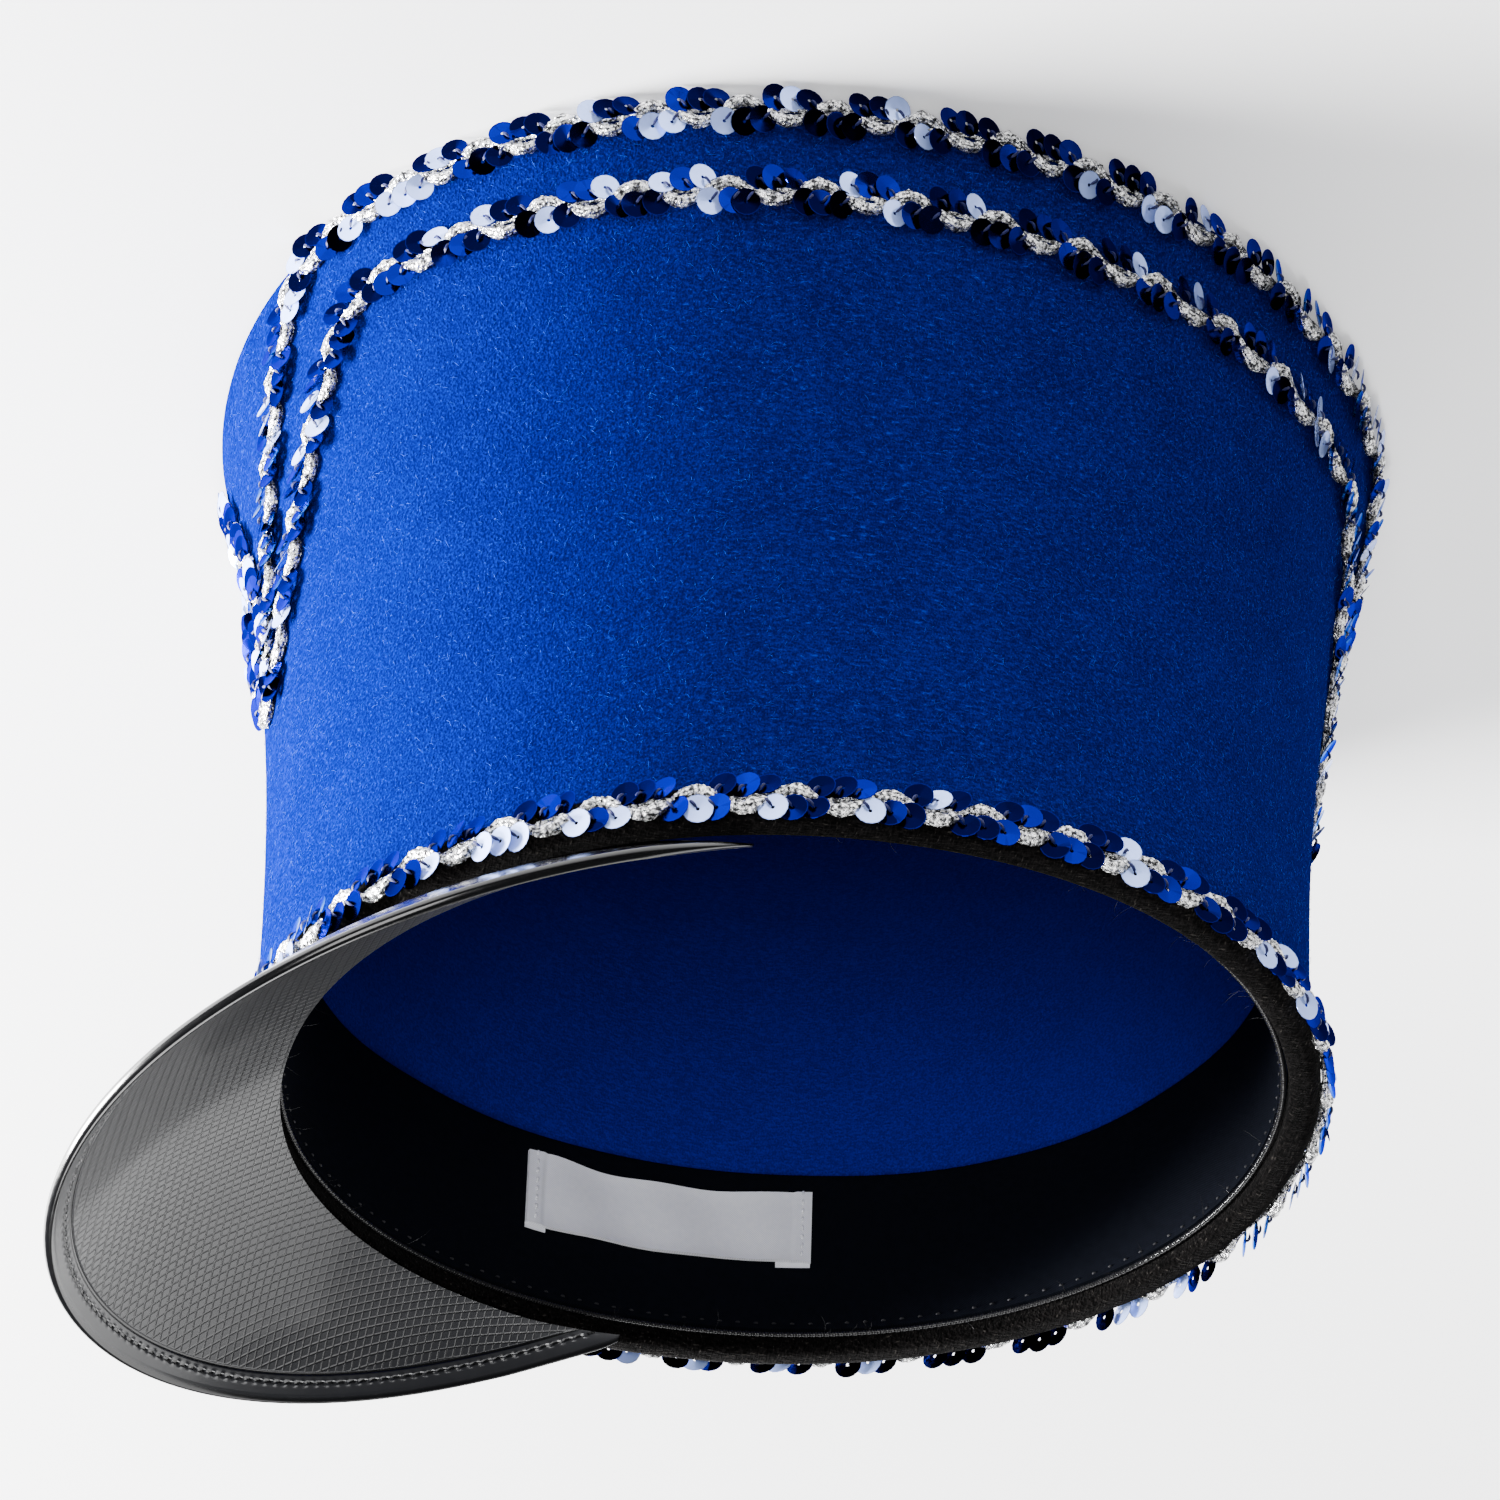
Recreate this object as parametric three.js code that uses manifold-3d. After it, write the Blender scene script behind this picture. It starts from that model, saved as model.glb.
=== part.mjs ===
// Shako hat: a flared felt crown with a moulded peak, a black edge band and sequin trims.
//
// Millimetres, +Z up. The hat stands upside down, as it would by itself, on its flat crown top.
// The origin is the middle of the crown top. The front, with the peak, faces -Y, the wearer's
// right side faces +X, and the head opening faces up.
//
// Places on the wall are given by an angle, 0 at the front and 90 degrees at +X, a share of the
// height, 0 at the crown top and 1 at the rim, and an offset outward from the felt's outer side.

import * as THREE from 'three';
import * as BufferGeometryUtils from 'three/addons/utils/BufferGeometryUtils.js';
import Module from 'manifold-3d';

// Head opening, which sets the hat's size: half of its length and width inside the reed
const openingHalfLength = 101;
const openingHalfWidth = 80.5;

// Felt body
const feltThickness = 3;
const crownHalfLength = 129.8;
const crownHalfWidth = 112;
const bodyHeight = 179.5;
const rimSlope = -0.066;
const rimSetForward = 3.9;
const lengthFlare = 2.4;
const widthFlare = 3.0;
const ovalPower = 2.05;
const crownEdgeRadius = 5;
const crownInsideRadius = 2;
const crownEdgeTurns = [0, 30, 60, 90];
const wallRises = [0.08, 0.16, 0.26, 0.38, 0.53, 0.7, 0.86];

// Gap kept between neighbouring pieces
const clearance = 0.3;

// Black band folded round the felt's edge
const edgeBandThickness = 1.5;
const edgeBandDepth = 7.5;
const edgeBandRounding = 3;

// Sweatband with a thin reed along its open edge
const sweatbandThickness = 1.4;
const sweatbandEnd = 4.8;
const sweatbandDepth = 46;
const reedRadius = 0.8;
const reedSides = 6;

// Peak
const peakLength = 60.9;
const peakEndLength = 6.7;
const peakThickness = 1.6;
const peakLeftAngle = -74.5;
const peakRightAngle = 82.5;
const peakDroopAngle = 76;
const peakTaperAngle = 82.4;
const peakTaperPower = 1.44;
const peakFrontDroop = 45.9;
const peakSideDroop = 38.2;
const peakDroopPower = 2.7;
const peakCornerPower = 12;
const peakCornerShare = 0.97;
const peakArch = 3;
const peakRootFillet = 2.4;
const peakRootShare = 0.3;
const peakFilletShare = 0.3;
const peakStations = [0, 0.12, 0.3, 0.6, 1];
const peakBeadWidth = 2.2;
const peakBeadRelief = 0.45;
const peakSteps = 44;

// Label sewn to the sweatband on the wearer's right
const labelLength = 63;
const labelHeight = 19;
const labelThickness = 0.5;
const labelAngle = 87;
const labelDepth = 22;
const labelSteps = 8;

// Sequin braid: a wavy band as wide and deep as the cord with its sequins
const braidHalfWidth = 2.8;
const braidTopShare = 0.7;
const braidHeight = 2.4;
const braidLift = 0.5;
const braidWaveHeight = 1.2;
const braidWaveLength = 18.7;
const braidSectionsPerWave = 4;
const baseBraidDepth = 3.6;
const braidJoint = 0.15;

// Upper braids: how far each lies below the crown top at the sides, and the V that it
// forms at the front and at the back, both of them running down to one apex
const apexDepth = 98.7;
const upperBraids = [
  { name: 'outer', sideDepth: 4.7, halfWidth: 30.7, bend: 1.82 },
  { name: 'inner', sideDepth: 22.6, halfWidth: 48, bend: 0.87 },
];
const braidCornerSoftness = 8;

// Facets round the hat, points of a braid's path before it is evened out, and the small
// step that measures a direction on the wall
const wallSteps = 60;
const braidPathSteps = 900;
const nudge = 0.001;
const fullTurn = 2 * Math.PI;

// Offsets from the felt's outer side, worked inward through the layers of the rim
const bandOuterOffset = clearance + edgeBandThickness;
const feltInnerOffset = -feltThickness;
const bandInnerOffset = feltInnerOffset - clearance - edgeBandThickness;
const sweatbandOuterOffset = bandInnerOffset - clearance;
const sweatbandInnerOffset = sweatbandOuterOffset - sweatbandThickness;
const reedOffset = bandInnerOffset - clearance - reedRadius;
const openingOffset = reedOffset - reedRadius;
const rimHalfLength = openingHalfLength - openingOffset;
const rimHalfWidth = openingHalfWidth - openingOffset;

/** A sine or cosine raised to the oval's power, with its sign kept. */
function ovalShare(value) {
  return Math.sign(value) * Math.abs(value) ** (2 / ovalPower);
}

/** Point on the wall at an angle in radians, a share of the height and an outward offset. */
function wallPoint(angle, share, offset) {
  const flare = Math.max(0, 1 - share);
  const halfLength = rimHalfLength + (crownHalfLength - rimHalfLength) * flare ** lengthFlare;
  const halfWidth = rimHalfWidth + (crownHalfWidth - rimHalfWidth) * flare ** widthFlare;
  const x = (halfWidth + offset) * ovalShare(Math.sin(angle));
  const y = -(halfLength + offset) * ovalShare(Math.cos(angle)) - rimSetForward * share;
  return new THREE.Vector3(x, y, share * (bodyHeight + rimSlope * y));
}

/** Unit normal of the wall, pointing outward. */
function wallNormal(angle, share, offset) {
  const round = wallPoint(angle + nudge, share, offset).sub(wallPoint(angle - nudge, share, offset));
  const up = wallPoint(angle, share + nudge, offset).sub(wallPoint(angle, share - nudge, offset));
  return round.cross(up).normalize();
}

/** Share of the height at a depth measured from the rim into the hat. */
function fromRim(depth) {
  return 1 - depth / bodyHeight;
}

/** Share of the height at a depth measured from the crown top. */
function fromCrown(depth) {
  return depth / bodyHeight;
}

/** Closed ring of points round the wall. */
function wallRing(share, offset) {
  const ring = [];
  for (let step = 0; step < wallSteps; step += 1) {
    ring.push(wallPoint((fullTurn * step) / wallSteps, share, offset));
  }
  return ring;
}

/** Volume inside a triangle list, negative when its faces point inward. */
function signedVolume(points, triangles) {
  let volume = 0;
  const cross = new THREE.Vector3();
  for (const [a, b, c] of triangles) {
    cross.crossVectors(points[b], points[c]);
    volume += points[a].dot(cross) / 6;
  }
  return volume;
}

/** Geometry from points and triangles, turned so that its faces point outward. */
function geometryFrom(points, triangles) {
  const inward = signedVolume(points, triangles) < 0;
  const index = triangles.flatMap(([a, b, c]) => (inward ? [a, c, b] : [a, b, c]));
  const geometry = new THREE.BufferGeometry();
  geometry.setAttribute('position', new THREE.Float32BufferAttribute(points.flatMap((p) => p.toArray()), 3));
  geometry.setIndex(index);
  geometry.computeVertexNormals();
  return geometry;
}

/** Closed surface through rings of equally many points, joined end to start or capped. */
function surfaceThrough(rings, joinEnds) {
  const count = rings[0].length;
  const points = rings.flat();
  const triangles = [];
  const spans = joinEnds ? rings.length : rings.length - 1;
  for (let row = 0; row < spans; row += 1) {
    const here = row * count;
    const next = ((row + 1) % rings.length) * count;
    for (let column = 0; column < count; column += 1) {
      const beside = (column + 1) % count;
      triangles.push([here + column, here + beside, next + beside]);
      triangles.push([here + column, next + beside, next + column]);
    }
  }
  if (!joinEnds) {
    capRing(points, triangles, 0, count, true);
    capRing(points, triangles, (rings.length - 1) * count, count, false);
  }
  return geometryFrom(points, triangles);
}

/** Closes a ring of points with a fan round its middle. */
function capRing(points, triangles, start, count, first) {
  const middle = new THREE.Vector3();
  for (let column = 0; column < count; column += 1) {
    middle.addScaledVector(points[start + column], 1 / count);
  }
  const hub = points.push(middle) - 1;
  for (let column = 0; column < count; column += 1) {
    const here = start + column;
    const beside = start + ((column + 1) % count);
    triangles.push(first ? [hub, beside, here] : [hub, here, beside]);
  }
}

/** Ring-shaped solid with one closed section, given as rows of offset and share. */
function wallLoop(section) {
  return surfaceThrough(section.map((row) => wallRing(row.share, row.offset)), true);
}

/** One shell of blocked felt: flat crown, rounded crown edge and flared wall, open at the rim. */
function feltCrownGeometry() {
  const rings = [];
  for (const turn of crownEdgeTurns) {
    const bend = THREE.MathUtils.degToRad(turn);
    const offset = crownEdgeRadius * (Math.sin(bend) - 1);
    rings.push(wallRing(fromCrown(crownEdgeRadius * (1 - Math.cos(bend))), offset));
  }
  const feltEnd = fromRim(edgeBandThickness + clearance);
  const rises = wallRises.map((rise) => rise * feltEnd);
  for (const share of [...rises, feltEnd]) {
    rings.push(wallRing(share, 0));
  }
  for (const share of [feltEnd, ...rises.reverse()]) {
    rings.push(wallRing(share, feltInnerOffset));
  }
  rings.push(wallRing(fromCrown(feltThickness + crownInsideRadius), feltInnerOffset));
  rings.push(wallRing(fromCrown(feltThickness), feltInnerOffset - crownInsideRadius));
  return surfaceThrough(rings, false);
}

/** Black felt folded round the edge: an outer leg, a rounded fold and an inner leg. */
function edgeBandGeometry() {
  const end = fromRim(edgeBandDepth);
  const fold = fromRim(edgeBandThickness);
  const cut = edgeBandRounding * (1 - Math.SQRT1_2);
  return wallLoop([
    { offset: bandOuterOffset, share: end },
    { offset: bandOuterOffset, share: fromRim(edgeBandRounding) },
    { offset: bandOuterOffset - cut, share: fromRim(cut) },
    { offset: bandOuterOffset - edgeBandRounding, share: 1 },
    { offset: bandInnerOffset + edgeBandThickness, share: 1 },
    { offset: bandInnerOffset, share: fold },
    { offset: bandInnerOffset, share: end },
    { offset: feltInnerOffset - clearance, share: end },
    { offset: feltInnerOffset - clearance, share: fold },
    { offset: clearance, share: fold },
    { offset: clearance, share: end },
  ]);
}

/** Flat band that lines the lower part of the wall inside. */
function sweatbandGeometry() {
  const shares = [sweatbandEnd, (sweatbandEnd + sweatbandDepth) / 2, sweatbandDepth].map(fromRim);
  const inner = shares.map((share) => ({ offset: sweatbandInnerOffset, share }));
  const outer = shares.map((share) => ({ offset: sweatbandOuterOffset, share }));
  return wallLoop([...inner, ...outer.reverse()]);
}

/** Thin round reed along the open edge of the sweatband. */
function reedGeometry() {
  const depth = sweatbandEnd - clearance - reedRadius;
  const section = [];
  for (let side = 0; side < reedSides; side += 1) {
    const turn = (fullTurn * side) / reedSides;
    const offset = reedOffset + reedRadius * Math.cos(turn);
    section.push({ offset, share: fromRim(depth + reedRadius * Math.sin(turn)) });
  }
  return wallLoop(section);
}

/** Length of the peak from its root to its edge, at an angle from the front in degrees. */
function peakReach(angle) {
  const taper = Math.max(0, 1 - (angle / peakTaperAngle) ** 2) ** peakTaperPower;
  const full = peakEndLength + (peakLength - peakEndLength) * taper;
  const end = peakCornerShare * (angle / (angle < 0 ? peakLeftAngle : peakRightAngle));
  return full * Math.sqrt(1 - end ** peakCornerPower);
}

/** Section of the peak at an angle, as pairs of outward reach and height above the rim. */
function peakSection(angle) {
  const reach = peakReach(angle);
  const part = Math.abs(angle / peakDroopAngle);
  const droop = peakFrontDroop + (peakSideDroop - peakFrontDroop) * part ** peakDroopPower;
  const cosine = Math.cos(THREE.MathUtils.degToRad(droop));
  const sine = Math.sin(THREE.MathUtils.degToRad(droop));
  const arch = peakArch * (reach / peakLength);
  const fillet = Math.min(peakRootFillet, peakFilletShare * reach);
  const at = (share, thickness) => {
    const along = reach * share;
    const across = arch * Math.sin(Math.PI * share) + thickness;
    const height = clearance + peakThickness + along * sine - across * cosine;
    return [clearance + along * cosine + across * sine, Math.max(clearance, height)];
  };
  const sheet = (share) => peakThickness + fillet * Math.max(0, 1 - share / peakRootShare) ** 2;
  const bead = 1 - peakBeadWidth / Math.max(reach, 2 * peakBeadWidth);
  const shares = peakStations.map((share) => share * bead);
  const beadMiddle = (1 + bead) / 2;
  return [
    ...shares.map((share) => at(share, 0)),
    at(beadMiddle, -peakBeadRelief),
    at(1, peakThickness / 2),
    at(beadMiddle, peakThickness + peakBeadRelief),
    ...shares.reverse().map((share) => at(share, sheet(share))),
    [clearance, clearance],
  ];
}

/** Moulded peak: a thin arched sheet that droops from under the rim and ends in a round bead. */
function peakGeometry() {
  const rings = [];
  for (let step = 0; step <= peakSteps; step += 1) {
    const degrees = peakLeftAngle + (peakRightAngle - peakLeftAngle) * (step / peakSteps);
    const angle = THREE.MathUtils.degToRad(degrees);
    const root = wallPoint(angle, 1, openingOffset);
    const ahead = wallPoint(angle + nudge, 1, openingOffset);
    const behind = wallPoint(angle - nudge, 1, openingOffset);
    const outward = new THREE.Vector3(ahead.y - behind.y, behind.x - ahead.x, 0).normalize();
    const ring = peakSection(degrees).map(([reach, height]) => {
      const point = root.clone().addScaledVector(outward, reach);
      point.z += height;
      return point;
    });
    rings.push(ring);
  }
  return surfaceThrough(rings, false);
}

/** Bare woven label that lies on the sweatband. */
function labelGeometry() {
  const halfTurn = labelLength / 2 / (rimHalfLength + sweatbandInnerOffset);
  const back = sweatbandInnerOffset - clearance;
  const front = back - labelThickness;
  const rings = [];
  for (let step = 0; step <= labelSteps; step += 1) {
    const angle = THREE.MathUtils.degToRad(labelAngle) + halfTurn * ((2 * step) / labelSteps - 1);
    rings.push([
      wallPoint(angle, fromRim(labelDepth), front),
      wallPoint(angle, fromRim(labelDepth + labelHeight), front),
      wallPoint(angle, fromRim(labelDepth + labelHeight), back),
      wallPoint(angle, fromRim(labelDepth), back),
    ]);
  }
  return surfaceThrough(rings, false);
}

/** The larger of two depths, with a soft corner where they cross. */
function softLarger(first, second) {
  const apart = first - second;
  return (first + second + Math.sqrt(apart ** 2 + braidCornerSoftness ** 2)) / 2;
}

/** Share of the height of an upper braid at an angle from the front in radians. */
function upperBraidShare(braid, angle) {
  const sideways = rimHalfWidth * Math.sin(angle);
  const vDepth = apexDepth * (1 - (Math.abs(sideways) / braid.halfWidth) ** (1 / braid.bend));
  const depth = Math.min(apexDepth, softLarger(braid.sideDepth, Math.max(vDepth, -apexDepth)));
  const { y } = wallPoint(angle, fromCrown(depth), 0);
  return depth / (bodyHeight + rimSlope * y);
}

/** Fine polyline on the wall from angle 0 to a last angle, denser near the two ends. */
function finePath(shareAt, lastAngle, offset) {
  const path = [];
  for (let step = 0; step <= braidPathSteps; step += 1) {
    const angle = (lastAngle * (1 - Math.cos((Math.PI * step) / braidPathSteps))) / 2;
    const share = shareAt(angle);
    path.push({ point: wallPoint(angle, share, offset), normal: wallNormal(angle, share, offset) });
  }
  return path;
}

/** Samples a fine path at equal distances, a few for each wave of the braid. */
function evenPath(path) {
  const travelled = [0];
  for (let step = 1; step < path.length; step += 1) {
    travelled.push(travelled[step - 1] + path[step].point.distanceTo(path[step - 1].point));
  }
  const length = travelled[travelled.length - 1];
  const waves = Math.round(length / braidWaveLength);
  const count = waves * braidSectionsPerWave;
  const samples = [];
  let step = 1;
  for (let sample = 0; sample <= count; sample += 1) {
    const target = (length * sample) / count;
    while (step < path.length - 1 && travelled[step] < target) {
      step += 1;
    }
    const blend = (target - travelled[step - 1]) / (travelled[step] - travelled[step - 1]);
    samples.push({
      point: path[step - 1].point.clone().lerp(path[step].point, blend),
      normal: path[step - 1].normal.clone().lerp(path[step].normal, blend).normalize(),
      phase: (fullTurn * sample) / braidSectionsPerWave,
    });
  }
  return samples;
}

/** Wavy band along a path, as an open or an endless solid. */
function braidGeometry(path, endless) {
  const samples = evenPath(path);
  const count = endless ? samples.length - 1 : samples.length;
  const rings = [];
  for (let sample = 0; sample < count; sample += 1) {
    const here = samples[sample];
    const next = samples[endless ? (sample + 1) % count : Math.min(sample + 1, count - 1)];
    const last = samples[endless ? (sample - 1 + count) % count : Math.max(sample - 1, 0)];
    const along = next.point.clone().sub(last.point);
    const across = new THREE.Vector3().crossVectors(here.normal, along).normalize();
    const wave = braidWaveHeight * Math.sin(here.phase);
    const corner = (sideways, height) => here.point.clone()
      .addScaledVector(across, wave + sideways)
      .addScaledVector(here.normal, height);
    rings.push([
      corner(-braidHalfWidth, 0),
      corner(braidHalfWidth, 0),
      corner(braidHalfWidth * braidTopShare, braidHeight),
      corner(-braidHalfWidth * braidTopShare, braidHeight),
    ]);
  }
  return surfaceThrough(rings, endless);
}

/** Braid round the rim, on the outer leg of the edge band. */
function baseBraidGeometry() {
  const share = fromRim(baseBraidDepth);
  return braidGeometry(finePath(() => share, fullTurn, bandOuterOffset + braidLift), true);
}

const manifold = await Module();
manifold.setup();

/** Solid of the boolean library made from a closed geometry. */
function solidFrom(geometry) {
  const mesh = new manifold.Mesh({
    numProp: 3,
    vertProperties: new Float32Array(geometry.getAttribute('position').array),
    triVerts: new Uint32Array(geometry.getIndex().array),
  });
  return new manifold.Manifold(mesh);
}

/** Geometry made from a solid of the boolean library. */
function geometryOf(solid) {
  const mesh = solid.getMesh();
  const geometry = new THREE.BufferGeometry();
  geometry.setAttribute('position', new THREE.BufferAttribute(new Float32Array(mesh.vertProperties), 3));
  geometry.setIndex(new THREE.BufferAttribute(new Uint32Array(mesh.triVerts), 1));
  geometry.computeVertexNormals();
  return geometry;
}

/** The outer and inner braids of one side, joined and cut where the other side begins. */
function upperBraidGeometry(side) {
  const bands = upperBraids.map((braid) => {
    const path = finePath((angle) => upperBraidShare(braid, angle), Math.PI, braidLift);
    for (const place of path) {
      place.point.x *= side;
      place.normal.x *= side;
    }
    return solidFrom(braidGeometry(path, false));
  });
  const reach = 2 * crownHalfLength;
  const cutter = new THREE.BoxGeometry(reach, 2 * reach, 2 * reach);
  cutter.deleteAttribute('normal');
  cutter.deleteAttribute('uv');
  cutter.translate(side * (braidJoint - reach / 2), 0, 0);
  const otherSide = solidFrom(BufferGeometryUtils.mergeVertices(cutter));
  return geometryOf(bands[0].add(bands[1]).subtract(otherSide));
}

/** Material with a colour, a roughness and no metalness unless stated. */
function material(color, roughness, metalness = 0) {
  return new THREE.MeshStandardMaterial({ color, roughness, metalness });
}

const blueFelt = material('#0b50c8', 0.95);
const blackFelt = material('#282426', 0.95);
const blackCloth = material('#0d0e14', 0.8);
const reedGrey = material('#8a8c90', 0.5);
const blackPlastic = material('#1d1e20', 0.3);
const whiteWeave = material('#e8eaf2', 0.85);
const sequinBraid = material('#9aa6d8', 0.3, 0.7);

const pieces = [
  ['felt_crown', feltCrownGeometry(), blueFelt],
  ['edge_band', edgeBandGeometry(), blackFelt],
  ['sweatband', sweatbandGeometry(), blackCloth],
  ['sweatband_reed', reedGeometry(), reedGrey],
  ['peak', peakGeometry(), blackPlastic],
  ['label', labelGeometry(), whiteWeave],
  ['base_braid', baseBraidGeometry(), sequinBraid],
  ['upper_braid_right', upperBraidGeometry(1), sequinBraid],
  ['upper_braid_left', upperBraidGeometry(-1), sequinBraid],
];

const hat = new THREE.Group();
for (const [name, geometry, finish] of pieces) {
  const mesh = new THREE.Mesh(geometry, finish);
  mesh.name = name;
  hat.add(mesh);
}

export default hat;
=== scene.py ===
"""Shako hat, upside down on its crown as it would rest by itself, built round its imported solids.

Every length is in metres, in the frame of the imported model. A place on the wall is an angle from
the front (in radians, growing towards the wearer's right), a share of the height (0 at the crown
top, 1 at the rim) and an offset outward from the felt's outer side.
"""

import logging
import math
from collections.abc import Callable
from dataclasses import dataclass, field
from enum import Enum
from functools import partial

import bmesh
import bpy
import numpy as np
from mathutils import Matrix


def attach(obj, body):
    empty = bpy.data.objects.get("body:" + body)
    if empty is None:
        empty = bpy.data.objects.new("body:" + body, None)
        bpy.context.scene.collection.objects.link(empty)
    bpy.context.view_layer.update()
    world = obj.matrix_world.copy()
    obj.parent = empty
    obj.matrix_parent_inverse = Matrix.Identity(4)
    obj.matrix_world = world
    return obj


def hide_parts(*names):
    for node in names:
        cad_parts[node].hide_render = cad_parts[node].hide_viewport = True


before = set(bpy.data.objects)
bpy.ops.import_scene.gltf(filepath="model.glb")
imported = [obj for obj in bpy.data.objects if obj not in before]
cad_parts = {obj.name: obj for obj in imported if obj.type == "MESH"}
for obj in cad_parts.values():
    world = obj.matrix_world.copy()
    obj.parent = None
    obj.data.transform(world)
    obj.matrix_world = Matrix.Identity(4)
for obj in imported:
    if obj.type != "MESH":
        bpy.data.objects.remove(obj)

MM = 0.001
FULL_TURN = 2 * math.pi

# The hat's one body, and the angle from which a fold shows as a sharp edge
ROOT = "root"
SHARP_ANGLE = math.radians(60)

# Points nearer than this are merged; fine where thin threads pass close by each other
MERGE = 1e-7
FINE_MERGE = 1e-9

# Small steps that measure a direction, on the wall and along a path, and a path's number of steps
NUDGE = 1e-3
PATH_NUDGE = 0.2 * MM
PATH_STEPS = 3000

# Order of a quad's corners that turns it over
TURNED_OVER = [0, 3, 2, 1]

log = logging.getLogger("shako")

Array = np.ndarray


class Side(Enum):
    """The wearer's side that an upper braid lies on, as the sign of its X."""

    RIGHT = 1
    LEFT = -1


def unit(vectors: Array) -> Array:
    """Scales vectors to length one.

    Args:
        vectors: Array whose last axis holds x, y and z.

    Returns:
        Array of the same shape.
    """
    return vectors / np.maximum(np.linalg.norm(vectors, axis=-1, keepdims=True), 1e-12)


def full_turn(steps: int) -> Array:
    """Angles of the equal steps that make a full turn."""
    return FULL_TURN * np.arange(steps) / steps


def travelled(line: Array) -> Array:
    """Distance along a line from its first point to each of its points: the sum of its steps."""
    return np.concatenate([[0], np.cumsum(np.linalg.norm(np.diff(line, axis=0), axis=-1))])


def thread_axes(pull: Array, side: Array, rise: Array, radius: float) -> Array:
    """Axes of copies of a thread: x is its whole pull, y and z are its radius sideways and upward."""
    return np.stack([pull, side * radius, rise * radius], axis=1)


def quads(rows: int, columns: int, closed_rows: bool = False, closed_columns: bool = False) -> Array:
    """Quads between the neighbouring points of a grid.

    Args:
        rows: Number of rows.
        columns: Number of columns.
        closed_rows: Whether the last row joins the first.
        closed_columns: Whether the last column joins the first.

    Returns:
        Array of quads by 4, with the points numbered row by row.
    """
    index = np.arange(rows * columns).reshape(rows, columns)
    if closed_rows:
        index = np.vstack([index, index[:1]])
    if closed_columns:
        index = np.hstack([index, index[:, :1]])
    corners = [index[:-1, :-1], index[:-1, 1:], index[1:, 1:], index[1:, :-1]]
    return np.stack(corners, axis=-1).reshape(-1, 4)


def ripple(angle: Array, waves: tuple[int, ...], seed: int) -> Array:
    """Smooth random unevenness round the hat: a mean of sines, each a whole number of waves.

    Args:
        angle: Angles in radians.
        waves: Number of waves in a full turn, one for each sine.
        seed: Seed of the random phases.

    Returns:
        Values from about -1 to 1.
    """
    phases = np.random.default_rng(seed).uniform(0, FULL_TURN, len(waves))
    total = sum(np.sin(count * angle + phase) for count, phase in zip(waves, phases))
    return total / len(waves)


@dataclass(frozen=True)
class Wall:
    """The felt's outer side.

    Half-length and half-width grow from the rim to the crown with a power of the share of the
    height that is left. The section is an oval: sine and cosine raised to two over oval_power.
    """

    rim_half_length: float = 107.7 * MM
    rim_half_width: float = 87.2 * MM
    crown_half_length: float = 129.8 * MM
    crown_half_width: float = 112 * MM
    height: float = 179.5 * MM
    rim_slope: float = -0.066
    rim_set_forward: float = 3.9 * MM
    length_flare: float = 2.4
    width_flare: float = 3.0
    oval_power: float = 2.05

    def point(self, angle: Array, share: Array, offset: Array) -> Array:
        """Points on the wall.

        Args:
            angle: Angles from the front.
            share: Shares of the height from the crown top.
            offset: Distances outward.

        Returns:
            Array of points, with x, y and z on the last axis.
        """
        angle, share, offset = np.broadcast_arrays(*(np.asarray(v, float) for v in (angle, share, offset)))
        left = np.maximum(0, 1 - share)
        grown_length = self.crown_half_length - self.rim_half_length
        grown_width = self.crown_half_width - self.rim_half_width
        half_length = self.rim_half_length + grown_length * left**self.length_flare
        half_width = self.rim_half_width + grown_width * left**self.width_flare
        sine, cosine = np.sin(angle), np.cos(angle)
        power = 2 / self.oval_power
        x = (half_width + offset) * np.sign(sine) * np.abs(sine) ** power
        y = -(half_length + offset) * np.sign(cosine) * np.abs(cosine) ** power
        y = y - self.rim_set_forward * share
        return np.stack([x, y, share * (self.height + self.rim_slope * y)], axis=-1)

    def normal(self, angle: Array, share: Array) -> Array:
        """Unit normals of the wall, outward: the cross product of the two small steps on it.

        Args:
            angle: Angles from the front.
            share: Shares of the height from the crown top.

        Returns:
            Array of vectors.
        """
        angle, share = np.broadcast_arrays(np.asarray(angle, float), np.asarray(share, float))
        around = self.point(angle + NUDGE, share, 0.0) - self.point(angle - NUDGE, share, 0.0)
        upward = self.point(angle, share + NUDGE, 0.0) - self.point(angle, share - NUDGE, 0.0)
        return unit(np.cross(around, upward))

    def from_rim(self, depth: Array) -> Array:
        """Share of the height at a depth below the rim."""
        return 1 - np.asarray(depth) / self.height

    def from_crown(self, depth: Array) -> Array:
        """Share of the height at a distance from the crown top."""
        return np.asarray(depth) / self.height


@dataclass(frozen=True)
class Layers:
    """Thicknesses at the rim, and the offsets from the felt's outer side that follow from them."""

    gap: float = 0.3 * MM
    felt: float = 3 * MM
    band: float = 1.5 * MM
    sweatband: float = 1.4 * MM
    reed_radius: float = 0.8 * MM

    @property
    def band_outer(self) -> float:
        """Offset of the edge band's outer side."""
        return self.gap + self.band

    @property
    def band_inner(self) -> float:
        """Offset of the edge band's side towards the head."""
        return -self.felt - self.gap - self.band

    @property
    def sweatband_outer(self) -> float:
        """Offset of the sweatband's side towards the felt."""
        return self.band_inner - self.gap

    @property
    def sweatband_inner(self) -> float:
        """Offset of the sweatband's side towards the head."""
        return self.sweatband_outer - self.sweatband

    @property
    def reed(self) -> float:
        """Offset of the reed's middle."""
        return self.band_inner - self.gap - self.reed_radius

    @property
    def opening(self) -> float:
        """Offset of the head opening's edge."""
        return self.reed - self.reed_radius


WALL = Wall()
LAYERS = Layers()


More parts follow.
